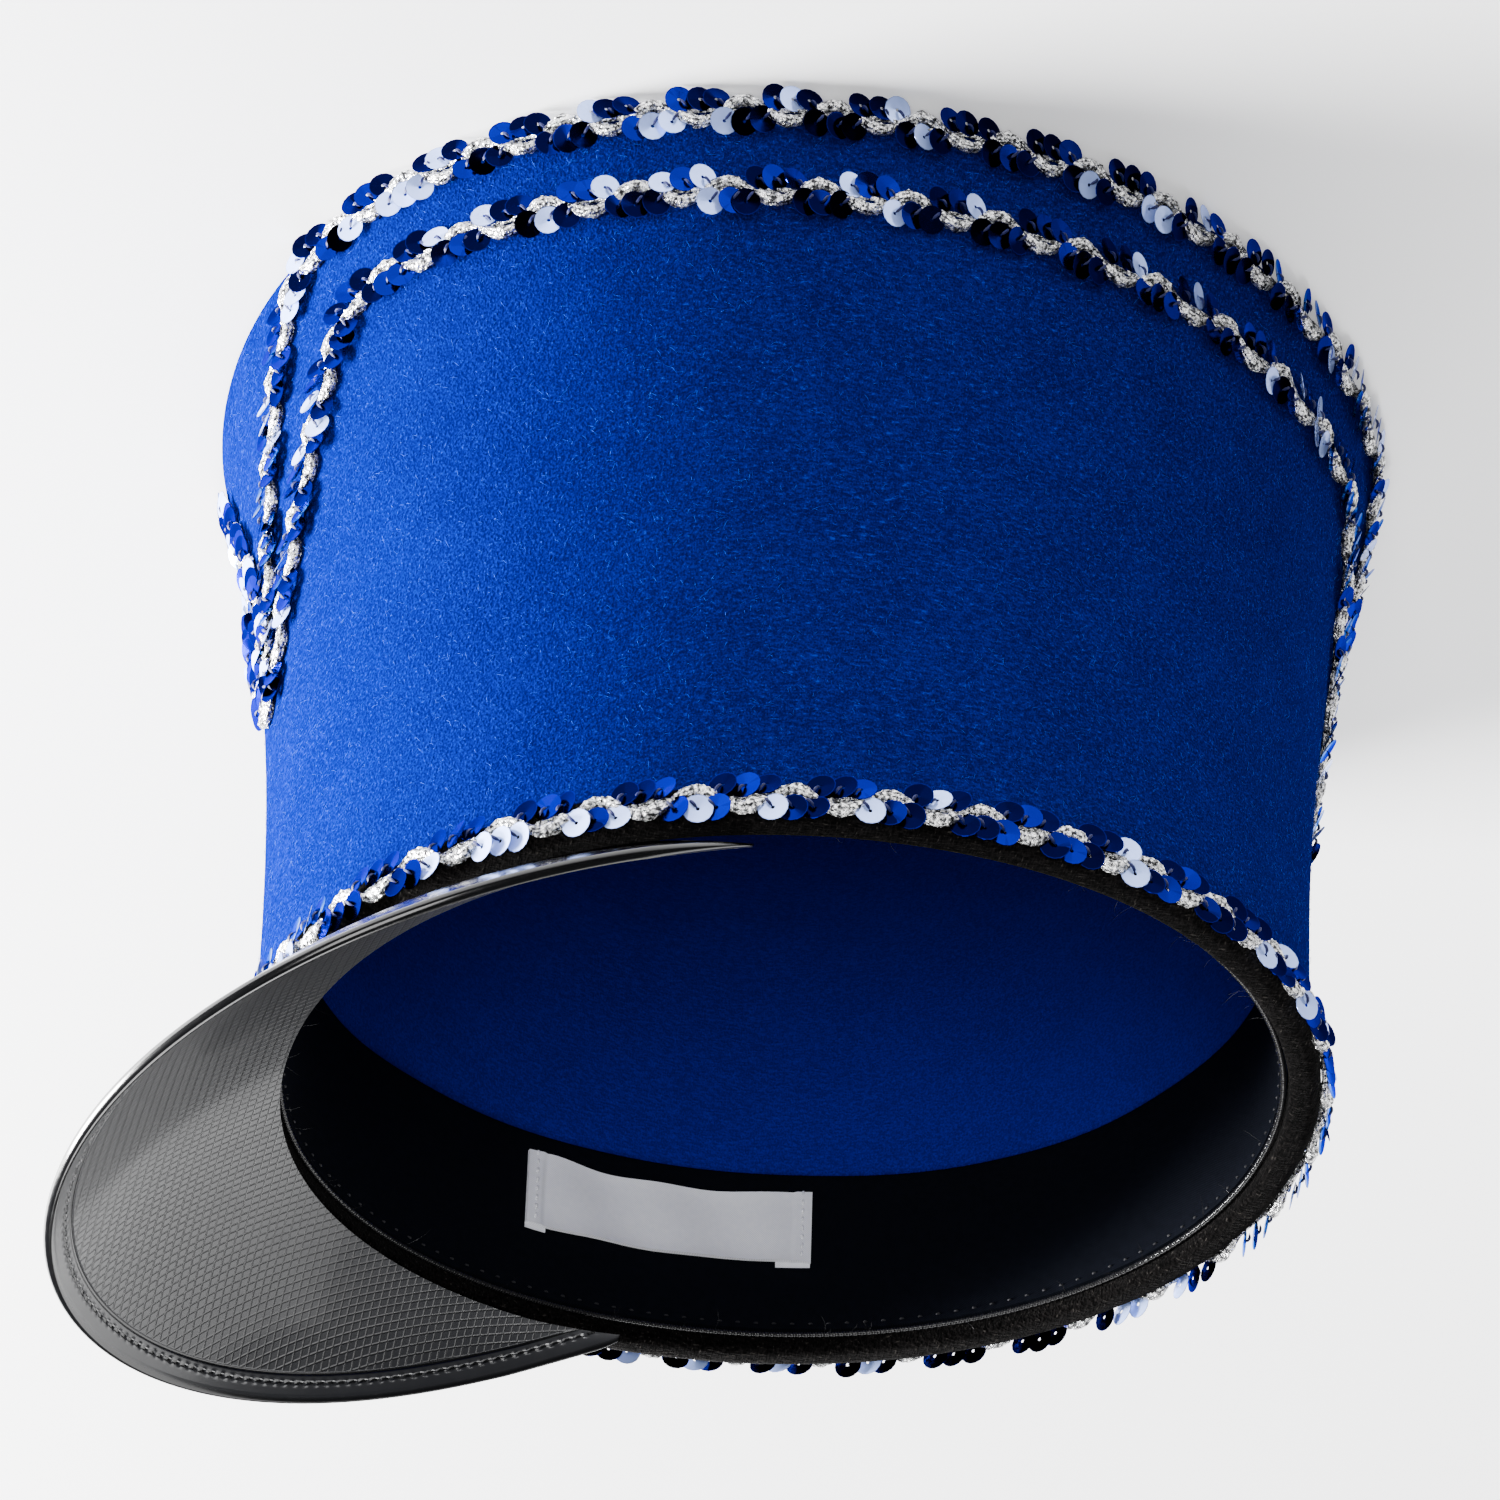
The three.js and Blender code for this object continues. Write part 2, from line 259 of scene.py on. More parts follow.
class MeshMaker:
    """Collects grids and copies of small shapes as arrays, and makes one mesh object of them."""

    def __init__(self, name: str) -> None:
        """Starts an empty piece.

        Args:
            name: Name of the finished object.
        """
        self.name = name
        self.points: list[Array] = []
        self.faces: list[Array] = []
        self.uvs: list[Array] = []
        self.values: list[Array] = []
        self.slots: list[Array] = []
        self.count = 0

    def _add(self, points: Array, faces: Array, uv: Array, value: Array, slot: int) -> None:
        """Adds points with their UVs, values and faces (quads, or triangles with a repeated corner)."""
        self.points.append(points)
        self.faces.append(faces + self.count)
        self.uvs.append(uv)
        self.values.append(value)
        self.slots.append(np.full(len(faces), slot, int))
        self.count += len(points)

    def grid(self, points: Array, uv: Array | None = None, closed_rows: bool = False,
             closed_columns: bool = False, value: Array | None = None, slot: int = 0) -> None:
        """Adds a surface given as a grid of points, joined to itself where it closes.

        Args:
            points: Array of rows by columns by 3.
            uv: Array of rows by columns by 2, or nothing for rows and columns as shares.
            closed_rows: Whether the last row joins the first.
            closed_columns: Whether the last column joins the first.
            value: Array of rows by columns kept in the attribute "mark".
            slot: Index of the material slot.
        """
        rows, columns = points.shape[:2]
        faces = quads(rows, columns, closed_rows, closed_columns)
        if uv is None:
            across, along = np.meshgrid(np.linspace(0, 1, columns), np.linspace(0, 1, rows))
            uv = np.stack([along, across], axis=-1)
        if value is None:
            value = np.zeros((rows, columns))
        self._add(points.reshape(-1, 3), faces, uv.reshape(-1, 2), value.reshape(-1), slot)

    def cap(self, ring: Array, slot: int = 0, flip: bool = False, value: float = 0.0) -> None:
        """Closes a ring of points with a fan of triangles round its middle.

        Args:
            ring: Array of points by 3, the same as a grid's first or last row.
            slot: Index of the material slot.
            flip: Whether the fan runs the other way round.
            value: Value kept in the attribute "mark".
        """
        count = len(ring)
        points = np.vstack([ring, ring.mean(axis=0, keepdims=True)])
        here = np.arange(count)
        beside = (here + 1) % count
        hub = np.full(count, count)
        order = [hub, beside, here, here] if flip else [hub, here, beside, beside]
        self._add(points, np.stack(order, axis=-1), np.zeros((count + 1, 2)), np.full(count + 1, value), slot)

    def copies(self, shape: "Stamp", places: Array, axes: Array, value: Array, slot: int = 0) -> None:
        """Adds many copies of a small shape.

        Args:
            shape: The shape to copy.
            places: Array of copies by 3, the middle of each copy.
            axes: Array of copies by 3 by 3, the copy's own x, y and z axes as rows.
            value: One value for each copy, kept in the attribute "mark".
            slot: Index of the material slot.
        """
        points = places[:, None, :] + np.einsum("pk,nkc->npc", shape.points, axes)
        each = len(shape.points)
        shifts = np.arange(len(places))[:, None, None] * each
        faces = (shape.faces[None] + shifts).reshape(-1, 4)
        uv = np.tile(shape.uv, (len(places), 1))
        self._add(points.reshape(-1, 3), faces, uv, np.repeat(value, each), slot)

    def build(self, merge: float = MERGE) -> bpy.types.Object:
        """Makes the object, at the origin, with a UV map and the attribute "mark".

        Args:
            merge: Points nearer than this become one.

        Returns:
            The new object, in the scene.
        """
        points = np.vstack(self.points)
        faces = np.vstack(self.faces)
        slots = np.concatenate(self.slots)
        uv = np.vstack(self.uvs)
        value = np.concatenate(self.values)
        triangle = faces[:, 2] == faces[:, 3]
        sizes = np.where(triangle, 3, 4)
        keep = np.ones(faces.shape, bool)
        keep[triangle, 3] = False
        corners = faces[keep]
        mesh = bpy.data.meshes.new(self.name)
        mesh.vertices.add(len(points))
        mesh.vertices.foreach_set("co", points.astype(np.float32).ravel())
        mesh.loops.add(len(corners))
        mesh.loops.foreach_set("vertex_index", corners.astype(np.int32))
        mesh.polygons.add(len(faces))
        starts = np.concatenate([[0], np.cumsum(sizes)[:-1]])
        mesh.polygons.foreach_set("loop_start", starts.astype(np.int32))
        mesh.polygons.foreach_set("material_index", slots.astype(np.int32))
        mesh.polygons.foreach_set("use_smooth", np.ones(len(faces), bool))
        layer = mesh.uv_layers.new(name="UVMap")
        layer.data.foreach_set("uv", uv[corners].astype(np.float32).ravel())
        mark = mesh.attributes.new("mark", "FLOAT", "POINT")
        mark.data.foreach_set("value", value.astype(np.float32))
        mesh.update(calc_edges=True)
        mesh.validate()
        tidy_mesh(mesh, merge)
        mesh.set_sharp_from_angle(angle=SHARP_ANGLE)
        piece = bpy.data.objects.new(self.name, mesh)
        bpy.context.scene.collection.objects.link(piece)
        return piece


def tidy_mesh(mesh: bpy.types.Mesh, merge: float) -> None:
    """Merges doubled points of a mesh and turns its faces outward.

    Args:
        mesh: The mesh to change.
        merge: Points nearer than this become one.
    """
    work = bmesh.new()
    work.from_mesh(mesh)
    bmesh.ops.remove_doubles(work, verts=work.verts, dist=merge)
    bmesh.ops.recalc_face_normals(work, faces=work.faces)
    work.to_mesh(mesh)
    work.free()


@dataclass(frozen=True)
class Stamp:
    """A small closed shape to copy: its points, its quads and its UVs."""

    points: Array
    faces: Array
    uv: Array


def lathe_stamp(profile: Array, sides: int) -> Stamp:
    """Small ring-shaped solid: a closed profile of radius and height turned about z.

    Args:
        profile: Array of points by 2, radius and height, in order round the section.
        sides: Number of steps round the axis.

    Returns:
        The shape, whose UV holds the radius and the turn.
    """
    turn = full_turn(sides)
    radius, height = profile[:, 0][:, None], profile[:, 1][:, None]
    points = np.stack([radius * np.cos(turn), radius * np.sin(turn), height + 0 * turn], axis=-1)
    faces = quads(len(profile), sides, closed_rows=True, closed_columns=True)[:, TURNED_OVER]
    uv = np.stack([radius + 0 * turn, 0 * radius + turn / FULL_TURN], axis=-1)
    return Stamp(points.reshape(-1, 3), faces, uv.reshape(-1, 2))


def arched_thread(arch: float, sides: int, steps: int) -> Stamp:
    """A thread of unit length along x and unit radius that arches up along z and closes at both ends.

    Its radius falls to nothing at the ends with a sixth power, and its arch is half a sine wave.

    Args:
        arch: Height of the arch in radii.
        sides: Number of sides of the section.
        steps: Number of steps along it.

    Returns:
        The shape, to be scaled by the axes of each copy.
    """
    along = np.linspace(0, 1, steps + 1)[:, None]
    turn = full_turn(sides)
    radius = np.sqrt(np.maximum(1 - (2 * along - 1) ** 6, 0))
    x = along + 0 * turn
    z = radius * np.sin(turn) + arch * np.sin(math.pi * along)
    points = np.stack([x, radius * np.cos(turn), z], axis=-1)
    faces = quads(steps + 1, sides, closed_columns=True)[:, TURNED_OVER]
    uv = np.stack([3 * x, turn + 0 * x], axis=-1)
    return Stamp(points.reshape(-1, 3), faces, uv.reshape(-1, 2))


class Number:
    """A value in a shader, with Python's operators for its maths."""

    def __init__(self, tree: "Shader", socket: bpy.types.NodeSocket) -> None:
        """Wraps an output socket of a shader's node."""
        self.tree = tree
        self.socket = socket

    def __add__(self, other: "Number | float") -> "Number":
        """Sum."""
        return self.tree.maths("ADD", self, other)

    def __sub__(self, other: "Number | float") -> "Number":
        """Difference."""
        return self.tree.maths("SUBTRACT", self, other)

    def __rsub__(self, other: float) -> "Number":
        """Difference from a number."""
        return self.tree.maths("SUBTRACT", other, self)

    def __mul__(self, other: "Number | float") -> "Number":
        """Product."""
        return self.tree.maths("MULTIPLY", self, other)

    def __truediv__(self, other: "Number | float") -> "Number":
        """Quotient."""
        return self.tree.maths("DIVIDE", self, other)

    __radd__ = __add__
    __rmul__ = __mul__

    def sine(self) -> "Number":
        """Sine of the value in radians."""
        return self.tree.maths("SINE", self)

    def size(self) -> "Number":
        """Absolute value."""
        return self.tree.maths("ABSOLUTE", self)

    def larger(self, other: "Number | float") -> "Number":
        """The larger of two values."""
        return self.tree.maths("MAXIMUM", self, other)

    def step(self, low: float, high: float) -> "Number":
        """Smooth step from 0 below low to 1 above high."""
        settings = {"interpolation_type": "SMOOTHSTEP", "clamp": True}
        inputs = {"Value": self, "From Min": low, "From Max": high, "To Min": 0.0, "To Max": 1.0}
        return self.tree.value("ShaderNodeMapRange", settings, inputs)


class Shader:
    """One material's node tree, with a Principled shader at its end."""

    def __init__(self, name: str) -> None:
        """Makes the material.

        Args:
            name: Name of the material.
        """
        self.material = bpy.data.materials.new(name)
        self.material.use_nodes = True
        self.tree = self.material.node_tree
        self.tree.nodes.clear()
        self.surface = self.tree.nodes.new("ShaderNodeBsdfPrincipled")
        output = self.tree.nodes.new("ShaderNodeOutputMaterial")
        self.tree.links.new(self.surface.outputs[0], output.inputs["Surface"])

    def node(self, kind: str, settings: dict | None = None, inputs: dict | None = None) -> bpy.types.Node:
        """Adds a node.

        Args:
            kind: The node's type.
            settings: Its properties, set first.
            inputs: Numbers, tuples, sockets or Numbers for its inputs, by name or index.

        Returns:
            The new node.
        """
        made = self.tree.nodes.new(kind)
        for name, setting in (settings or {}).items():
            setattr(made, name, setting)
        for name, given in (inputs or {}).items():
            self.feed(made.inputs[name], given)
        return made

    def feed(self, socket: bpy.types.NodeSocket, given: object) -> None:
        """Links or sets an input socket.

        Args:
            socket: The input.
            given: A Number, a socket, a number or a tuple.
        """
        if isinstance(given, Number):
            self.tree.links.new(given.socket, socket)
        elif isinstance(given, bpy.types.NodeSocket):
            self.tree.links.new(given, socket)
        else:
            socket.default_value = given

    def value(self, kind: str, settings: dict | None = None, inputs: dict | None = None) -> Number:
        """Adds a node and gives its first output."""
        return Number(self, self.node(kind, settings, inputs).outputs[0])

    def maths(self, operation: str, *values: "Number | float") -> Number:
        """Adds a Math node on one or two values."""
        return self.value("ShaderNodeMath", {"operation": operation}, dict(enumerate(values)))

    def place(self) -> bpy.types.NodeSocket:
        """Object coordinates."""
        return self.node("ShaderNodeTexCoord").outputs["Object"]

    def uv(self) -> tuple[Number, Number]:
        """The two coordinates of the piece's UV map."""
        source = self.node("ShaderNodeUVMap", {"uv_map": "UVMap"}).outputs[0]
        split = self.node("ShaderNodeSeparateXYZ", inputs={0: source})
        return Number(self, split.outputs[0]), Number(self, split.outputs[1])

    def mark(self) -> Number:
        """The attribute "mark"."""
        return Number(self, self.node("ShaderNodeAttribute", {"attribute_name": "mark"}).outputs["Fac"])

    def stretched(self, turn: tuple[float, float, float], scale: tuple[float, float, float]) -> Number:
        """Object coordinates turned and scaled by a Mapping node."""
        inputs = {"Vector": self.place(), "Rotation": turn, "Scale": scale}
        return self.value("ShaderNodeMapping", None, inputs)

    def noise(self, scale: float, detail: float = 2.0, roughness: float = 0.5,
              vector: object = None) -> Number:
        """Noise over the object.

        Args:
            scale: Features in a metre, or in a unit of the vector.
            detail: Number of finer layers.
            roughness: Strength of the finer layers.
            vector: Coordinates, or nothing for object coordinates.

        Returns:
            Values round 0.5.
        """
        inputs = {"Vector": vector or self.place(), "Scale": scale, "Detail": detail, "Roughness": roughness}
        return self.value("ShaderNodeTexNoise", {"noise_dimensions": "3D"}, inputs)

    def blend(self, factor: "Number | float", first: object, second: object) -> Number:
        """Mixes two colours, each a tuple or a Number."""
        made = self.node("ShaderNodeMix", {"data_type": "RGBA"}, {0: factor, 6: first, 7: second})
        return Number(self, made.outputs[2])

    def bump(self, height: Number, distance: float, strength: float) -> Number:
        """Adds a Bump node whose height is a share of a distance."""
        inputs = {"Strength": strength, "Distance": distance, "Height": height}
        return self.value("ShaderNodeBump", None, inputs)

    def finish(self, **inputs: object) -> bpy.types.Material:
        """Sets the Principled shader's inputs, written with underscores for spaces.

        Args:
            inputs: Values or links, by input name.

        Returns:
            The material.
        """
        for name, given in inputs.items():
            self.feed(self.surface.inputs[name.replace("_", " ").title().replace("Ior", "IOR")], given)
        return self.material


Colour = tuple[float, float, float, float]


def colour(red: float, green: float, blue: float) -> Colour:
    """A linear colour with full alpha."""
    return (red, green, blue, 1.0)


@dataclass(frozen=True)
class WoolFelt:
    """Blocked wool felt: a dyed ground, matted fibres, a few pale ones and a soft sheen. Mark 1, the inside,
    gets a lighter blue as painted light for the hollow.

    The body's colour goes from ground to lit with a weighted sum of fine grain, fibres in two
    directions and wide clouds.
    """

    name: str
    ground: Colour
    lit: Colour
    fibre: Colour
    sheen: float
    sheen_tint: Colour = colour(1.0, 1.0, 1.0)
    # Painted light: lighter blues for the inside of the felt, standing in for light that reaches the hollow
    inside_painted_light_ground: Colour = colour(0.0, 0.001, 0.20)
    inside_painted_light: Colour = colour(0.0, 0.001, 0.38)
    fibre_share: float = 0.45
    relief: float = 0.35 * MM

    def material(self) -> bpy.types.Material:
        """Makes the finish."""
        shader = Shader(self.name)
        grain = shader.noise(2500, 3, 0.65)
        cloud = shader.noise(55, 3, 0.6)
        first = shader.noise(1.0, 1, 0.5, shader.stretched((0.3, 0.5, 0.9), (2600, 520, 1500)))
        second = shader.noise(1.0, 1, 0.5, shader.stretched((1.1, -0.4, 2.2), (560, 2700, 1600)))
        matted = (first.step(0.35, 0.7) + second.step(0.35, 0.7)) * 0.5
        pale = first.step(0.70, 0.76).larger(second.step(0.70, 0.76))
        # Mark 1 swaps in the inside's lighter blues, painted light
        lit = shader.blend(shader.mark(), self.lit, self.inside_painted_light)
        ground = shader.blend(shader.mark(), self.ground, self.inside_painted_light_ground)
        body = shader.blend((grain * 0.6 + matted * 0.5 + cloud * 0.25).step(0.35, 1.05), ground, lit)
        tint = shader.blend(pale * self.fibre_share, body, self.fibre)
        normal = shader.bump(grain * 0.5 + matted * 0.6, self.relief, 0.75)
        return shader.finish(base_color=tint, roughness=0.92, normal=normal, sheen_weight=self.sheen,
                             sheen_roughness=0.45, sheen_tint=self.sheen_tint, specular_ior_level=0.0)


@dataclass(frozen=True)
class Cotton:
    """Plain woven cloth or thread: the product of two sines in UV millimetres, its warp and weft."""

    name: str
    ground: Colour
    raised: Colour
    pitch: float
    depth: float = 0.06 * MM
    roughness: float = 0.8
    shine: float = 0.3

    def material(self) -> bpy.types.Material:
        """Makes the finish."""
        shader = Shader(self.name)
        across, along = shader.uv()
        turn = FULL_TURN / self.pitch
        weave = (across * turn).sine() * (along * turn).sine() * 0.5 + 0.5
        uneven = shader.noise(700, 3, 0.6)
        height = weave * 0.7 + uneven * 0.5
        tint = shader.blend(height.step(0.25, 0.95), self.ground, self.raised)
        normal = shader.bump(height, self.depth, 0.8)
        return shader.finish(base_color=tint, roughness=self.roughness, normal=normal,
                             specular_ior_level=self.shine)


@dataclass(frozen=True)
class Lacquer:
    """Moulded black plastic. The mark is 0 where it is glossy, 0.5 where satin and 1 on the lattice.

    The lattice is a square grid of grooves in UV millimetres, where either sine is near nothing; its grooves
    are painted near black, painted shade in the recesses.
    """

    name: str
    ground: Colour
    satin: Colour
    cell: float = 1.65
    relief: float = 0.12 * MM

    def material(self) -> bpy.types.Material:
        """Makes the finish."""
        shader = Shader(self.name)
        across, along = shader.uv()
        turn = math.pi / self.cell
        lines = (across * turn).sine().size().step(0.0, 0.5) * (along * turn).sine().size().step(0.0, 0.5)
        mark = shader.mark()
        # Painted shade: on the lattice the grooves fall to the black ground colour; the same pattern raises
        # the relief
        cells_and_groove_shade = 1.0 - (1.0 - lines) * mark.step(0.7, 0.95)
        satin = mark.step(0.1, 0.45)
        scuffs = shader.noise(1.0, 2, 0.5, shader.stretched((0.2, 0.1, 0.7), (2200, 90, 300)))
        dust = shader.noise(160, 4, 0.65)
        tint = shader.blend(satin * (cells_and_groove_shade * 0.85 + 0.15), self.ground, self.satin)
        height = cells_and_groove_shade + scuffs.step(0.62, 0.8) * 0.04 + dust * 0.03
        rough = satin * 0.12 + 0.18 + dust.step(0.45, 0.75) * 0.07
        normal = shader.bump(height, self.relief, 0.9)
        return shader.finish(base_color=tint, roughness=rough, normal=normal, coat_weight=0.2,
                             coat_roughness=0.12)


@dataclass(frozen=True)
class Bullion:
    """Crumpled silver foil thread: bright ridges and glints between them, with painted shade that darkens its
    hollows.
    """

    name: str
    bright: Colour
    # Painted shade: the colour put into the foil's hollows
    hollow: Colour
    grain: float = 1500.0
    relief: float = 0.35 * MM

    def material(self) -> bpy.types.Material:
        """Makes the finish."""
        shader = Shader(self.name)
        along, around = shader.uv()
        twist = around * (FULL_TURN * 4)
        lay = (along * 1.7 + twist).sine() * (along * 2.3 - twist).sine() * 0.5 + 0.5
        crumple = shader.noise(self.grain, 4, 0.72)
        facet = shader.value("ShaderNodeTexVoronoi", {"feature": "F1"},
                             {"Vector": shader.place(), "Scale": self.grain})
        height = lay * 0.5 + crumple * 0.8 + facet * 0.9
        # Painted shade: low places of the crumple fall towards the hollow colour
        dark = (crumple * 0.8 + lay * 0.2 + (1.0 - facet) * 0.25).step(0.50, 0.72)
        tint = shader.blend(dark, self.hollow, self.bright)
        rough = crumple * 0.25 + 0.14
        normal = shader.bump(height, self.relief, 1.0)
        return shader.finish(base_color=tint, metallic=0.88, roughness=rough, normal=normal)


@dataclass(frozen=True)
class SequinFilm:
    """Coated blue film. The mark paints how a disc catches the light, as painted reflection: 0 navy, 1 mid
    blue, 2 pale.
    """

    name: str
    navy: Colour
    blue: Colour
    pale: Colour
    radius: float = 3.0 * MM
    relief: float = 0.05 * MM

    def material(self) -> bpy.types.Material:
        """Makes the finish."""
        shader = Shader(self.name)
        mark = shader.mark()
        radius, turn = shader.uv()
        # Painted shading: the tone shifts round each disc as if the light fell across it
        painted_shading_wedge = (turn * FULL_TURN + mark * 37).sine().step(-0.2, 0.9) * 0.4
        cloud = shader.noise(260, 2, 0.5)
        first = shader.blend((mark + painted_shading_wedge).step(0.3, 1.2), self.navy, self.blue)
        # Painted reflection: discs with mark near 2 are painted pale, as if they mirrored a bright lamp
        painted_pale_reflection = (mark + cloud * 0.2).step(1.5, 2.0)
        tint = shader.blend(painted_pale_reflection, first, self.pale)
        rim = (radius / self.radius).step(0.93, 1.0)
        edge = shader.blend(rim * 0.5, tint, self.blue)
        normal = shader.bump(shader.noise(420, 2, 0.5), self.relief, 0.4)
        return shader.finish(base_color=edge, metallic=1.0 - painted_pale_reflection * 0.65, roughness=0.14, normal=normal,
                             coat_weight=mark.step(1.2, 2.0) * 0.5, coat_roughness=0.04,
                             specular_tint=colour(0.12, 0.3, 1.0))


class Finishes:
    """The finishes of the hat, made once and shared by its pieces."""

    def __init__(self) -> None:
        """Makes every material."""
        dyed = colour(0.0, 0.05, 1.0)
        self.blue_felt = WoolFelt("royal blue felt", colour(0.0, 0.0006, 0.04), colour(0.0, 0.0045, 0.125),
                                  colour(0.003, 0.03, 0.34), 0.05, dyed).material()
        self.black_felt = WoolFelt("charcoal felt", colour(0.0009, 0.0009, 0.0009),
                                   colour(0.0068, 0.0061, 0.0060), colour(0.05, 0.045, 0.04), 0.02).material()
        self.fluff = Cotton("loose fibres", colour(0.001, 0.02, 0.22), colour(0.03, 0.10, 0.60), 0.3,
                            0.01 * MM, shine=0.0).material()
        self.black_cloth = Cotton("sweatband cloth", colour(0.001, 0.0013, 0.0022),
                                  colour(0.005, 0.006, 0.010), 0.5, shine=0.02).material()
        self.reed = Cotton("reed cover", colour(0.002, 0.002, 0.003), colour(0.022, 0.022, 0.022), 0.6,
                           0.1 * MM, 0.15).material()
        self.plastic = Lacquer("moulded plastic", colour(0.0015, 0.0015, 0.0018),
                               colour(0.016, 0.0165, 0.019)).material()
        self.weave = Cotton("label weave", colour(0.80, 0.82, 0.88), colour(0.98, 0.98, 1.0), 0.55).material()
        # The second colour is painted shade for the gimp's hollows
        self.silver = Bullion("silver gimp", colour(1.0, 1.0, 1.0), colour(0.03, 0.03, 0.033)).material()
        # Navy, mid blue and pale are painted reflections of the one blue film
        self.sequin = SequinFilm("sequin film", colour(0.0004, 0.0004, 0.012), colour(0.0, 0.0015, 0.15),
                                 colour(0.40, 0.53, 1.0)).material()
        self.thread = Cotton("sewing thread", colour(0.0002, 0.0006, 0.02), colour(0.0006, 0.005, 0.09), 0.4,
                             0.04 * MM, 0.5).material()
        self.stitch = Cotton("stitch thread", colour(0.003, 0.003, 0.004), colour(0.022, 0.022, 0.026), 0.4,
                             0.04 * MM, 0.6).material()


def place(piece: bpy.types.Object, materials: list[bpy.types.Material], node: str, slot: str) -> None:
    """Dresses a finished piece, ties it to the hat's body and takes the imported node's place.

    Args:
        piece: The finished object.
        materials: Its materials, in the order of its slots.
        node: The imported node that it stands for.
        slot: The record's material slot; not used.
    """
    for material in materials:
        piece.data.materials.append(material)
    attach(piece, ROOT)
    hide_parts(node)
    log.info("%s: %d faces", piece.name, len(piece.data.polygons))


def wall_sweep(shares: Array, offsets: Array, columns: int, bulge: Callable | None = None) -> Array:
    """Turns a profile on the wall about the hat.

    Args:
        shares: Share of the height of each point of the profile.
        offsets: Outward offset of each point.
        columns: Number of angles round the hat.
        bulge: Function of the angles and shares that gives a further offset, or nothing.

    Returns:
        Array of angles by profile points by 3.
    """
    angle = full_turn(columns)[:, None]
    share = np.broadcast_to(shares, (columns, len(shares)))
    extra = bulge(angle, share) if bulge else 0.0
    return WALL.point(angle, share, offsets + extra)


@dataclass(frozen=True)
class FeltCrown:
    """The blocked felt shell: flat crown top, rounded crown edge, flared wall, inside and rim."""

    edge_radius: float = 5 * MM
    inside_radius: float = 2 * MM
    dents: float = 0.35 * MM
    columns: int = 320
    wall_rows: int = 34
    edge_rows: int = 12
    disc_rings: int = 8
    hub: float = 0.02
    inside_start: float = 0.51

    def profile(self) -> tuple[Array, Array]:
        """Shares and offsets from the crown top's edge, up the outside and down the inside."""
        bend = np.linspace(0, math.pi / 2, self.edge_rows)
        edge_share = WALL.from_crown(self.edge_radius * (1 - np.cos(bend)))
        edge_offset = self.edge_radius * (np.sin(bend) - 1)
        top = float(WALL.from_rim(LAYERS.band + LAYERS.gap))
        low = float(WALL.from_crown(self.edge_radius))
        rise = low + (top - low) * np.linspace(0, 1, self.wall_rows)[1:]
        inner_low = float(WALL.from_crown(LAYERS.felt + self.inside_radius))
        fall = top + (inner_low - top) * np.linspace(0, 1, self.wall_rows)
        inner_share = WALL.from_crown(LAYERS.felt + self.inside_radius * (1 - np.sin(bend)))
        inner_offset = -LAYERS.felt - self.inside_radius * (1 - np.cos(bend))
        shares = np.concatenate([edge_share, rise, fall, inner_share[1:]])
        offsets = np.concatenate([edge_offset, 0 * rise, 0 * fall - LAYERS.felt, inner_offset[1:]])
        return shares, offsets

    def bulge(self, angle: Array, share: Array) -> Array:
        """Slight unevenness of the hand-blocked wall, none at the crown top and under the edge band."""
        strength = np.clip(share * 12 - 0.8, 0, 1) * np.clip((0.93 - share) * 12, 0, 1)
        wide = ripple(angle, (3, 5, 8), seed=4) * np.sin(3 * share)
        small = ripple(angle, (7, 11, 13), seed=5) * np.cos(5 * share)
        return self.dents * strength * (wide + small)

    def build(self, finishes: Finishes) -> None:
        """Makes the shell: the swept profile with a disc at each end."""
        maker = MeshMaker("felt_crown_shell")
        shell = wall_sweep(*self.profile(), self.columns, self.bulge)
        # Mark 1 on the inside, which the felt's finish turns a lighter blue as painted light
        inside = np.broadcast_to(np.linspace(0, 1, shell.shape[1]) > self.inside_start, shell.shape[:2])
        maker.grid(shell, closed_rows=True, value=inside * 1.0)
        reach = np.linspace(1, self.hub, self.disc_rings)[None, :, None]
        for ring, mark in ((shell[:, 0], 0.0), (shell[:, -1], 1.0)):
            middle = ring.mean(axis=0)
            disc = middle + (ring[:, None] - middle) * reach
            maker.grid(disc, closed_rows=True, value=np.full(disc.shape[:2], mark))
            maker.cap(disc[:, -1], value=mark)
        place(maker.build(), [finishes.blue_felt], "felt_crown", "blue_felt")


@dataclass(frozen=True)
class FeltFuzz:
    """Loose fibres that lie on the outside of the felt and stand off a little."""

    count: int = 16000
    shortest: float = 0.7 * MM
    longest: float = 2.8 * MM
    radius: float = 0.028 * MM
    arch: float = 8
    stray: float = 0.45 * MM
    low_share: float = 0.03
    high_share: float = 0.96
    seed: int = 17

    def build(self, finishes: Finishes) -> None:
        """Makes the fibres: fine arched threads at random places and headings."""
        random = np.random.default_rng(self.seed)
        angle = random.uniform(0, FULL_TURN, self.count)
        share = random.uniform(self.low_share, self.high_share, self.count)
        heading = random.uniform(0, FULL_TURN, self.count)
        length = self.shortest + (self.longest - self.shortest) * random.uniform(0, 1, self.count) ** 2
        bulge = FeltCrown().bulge
        end_angle = angle + length * np.cos(heading) / WALL.rim_half_length
        end_share = np.clip(share + length * np.sin(heading) / WALL.height, 0, 1)
        start = WALL.point(angle, share, bulge(angle, share))
        lift = self.stray * random.uniform(0, 1, self.count) ** 3
        pull = WALL.point(end_angle, end_share, bulge(end_angle, end_share) + lift) - start
        normal = WALL.normal(angle, share)
        axes = thread_axes(pull, unit(np.cross(normal, pull)), normal, self.radius)
        fibre = arched_thread(self.arch, sides=3, steps=2)
        maker = MeshMaker("felt_crown_fuzz")
        maker.copies(fibre, start, axes, random.uniform(0, 1, self.count))
        place(maker.build(), [finishes.fluff], "felt_crown", "blue_felt")


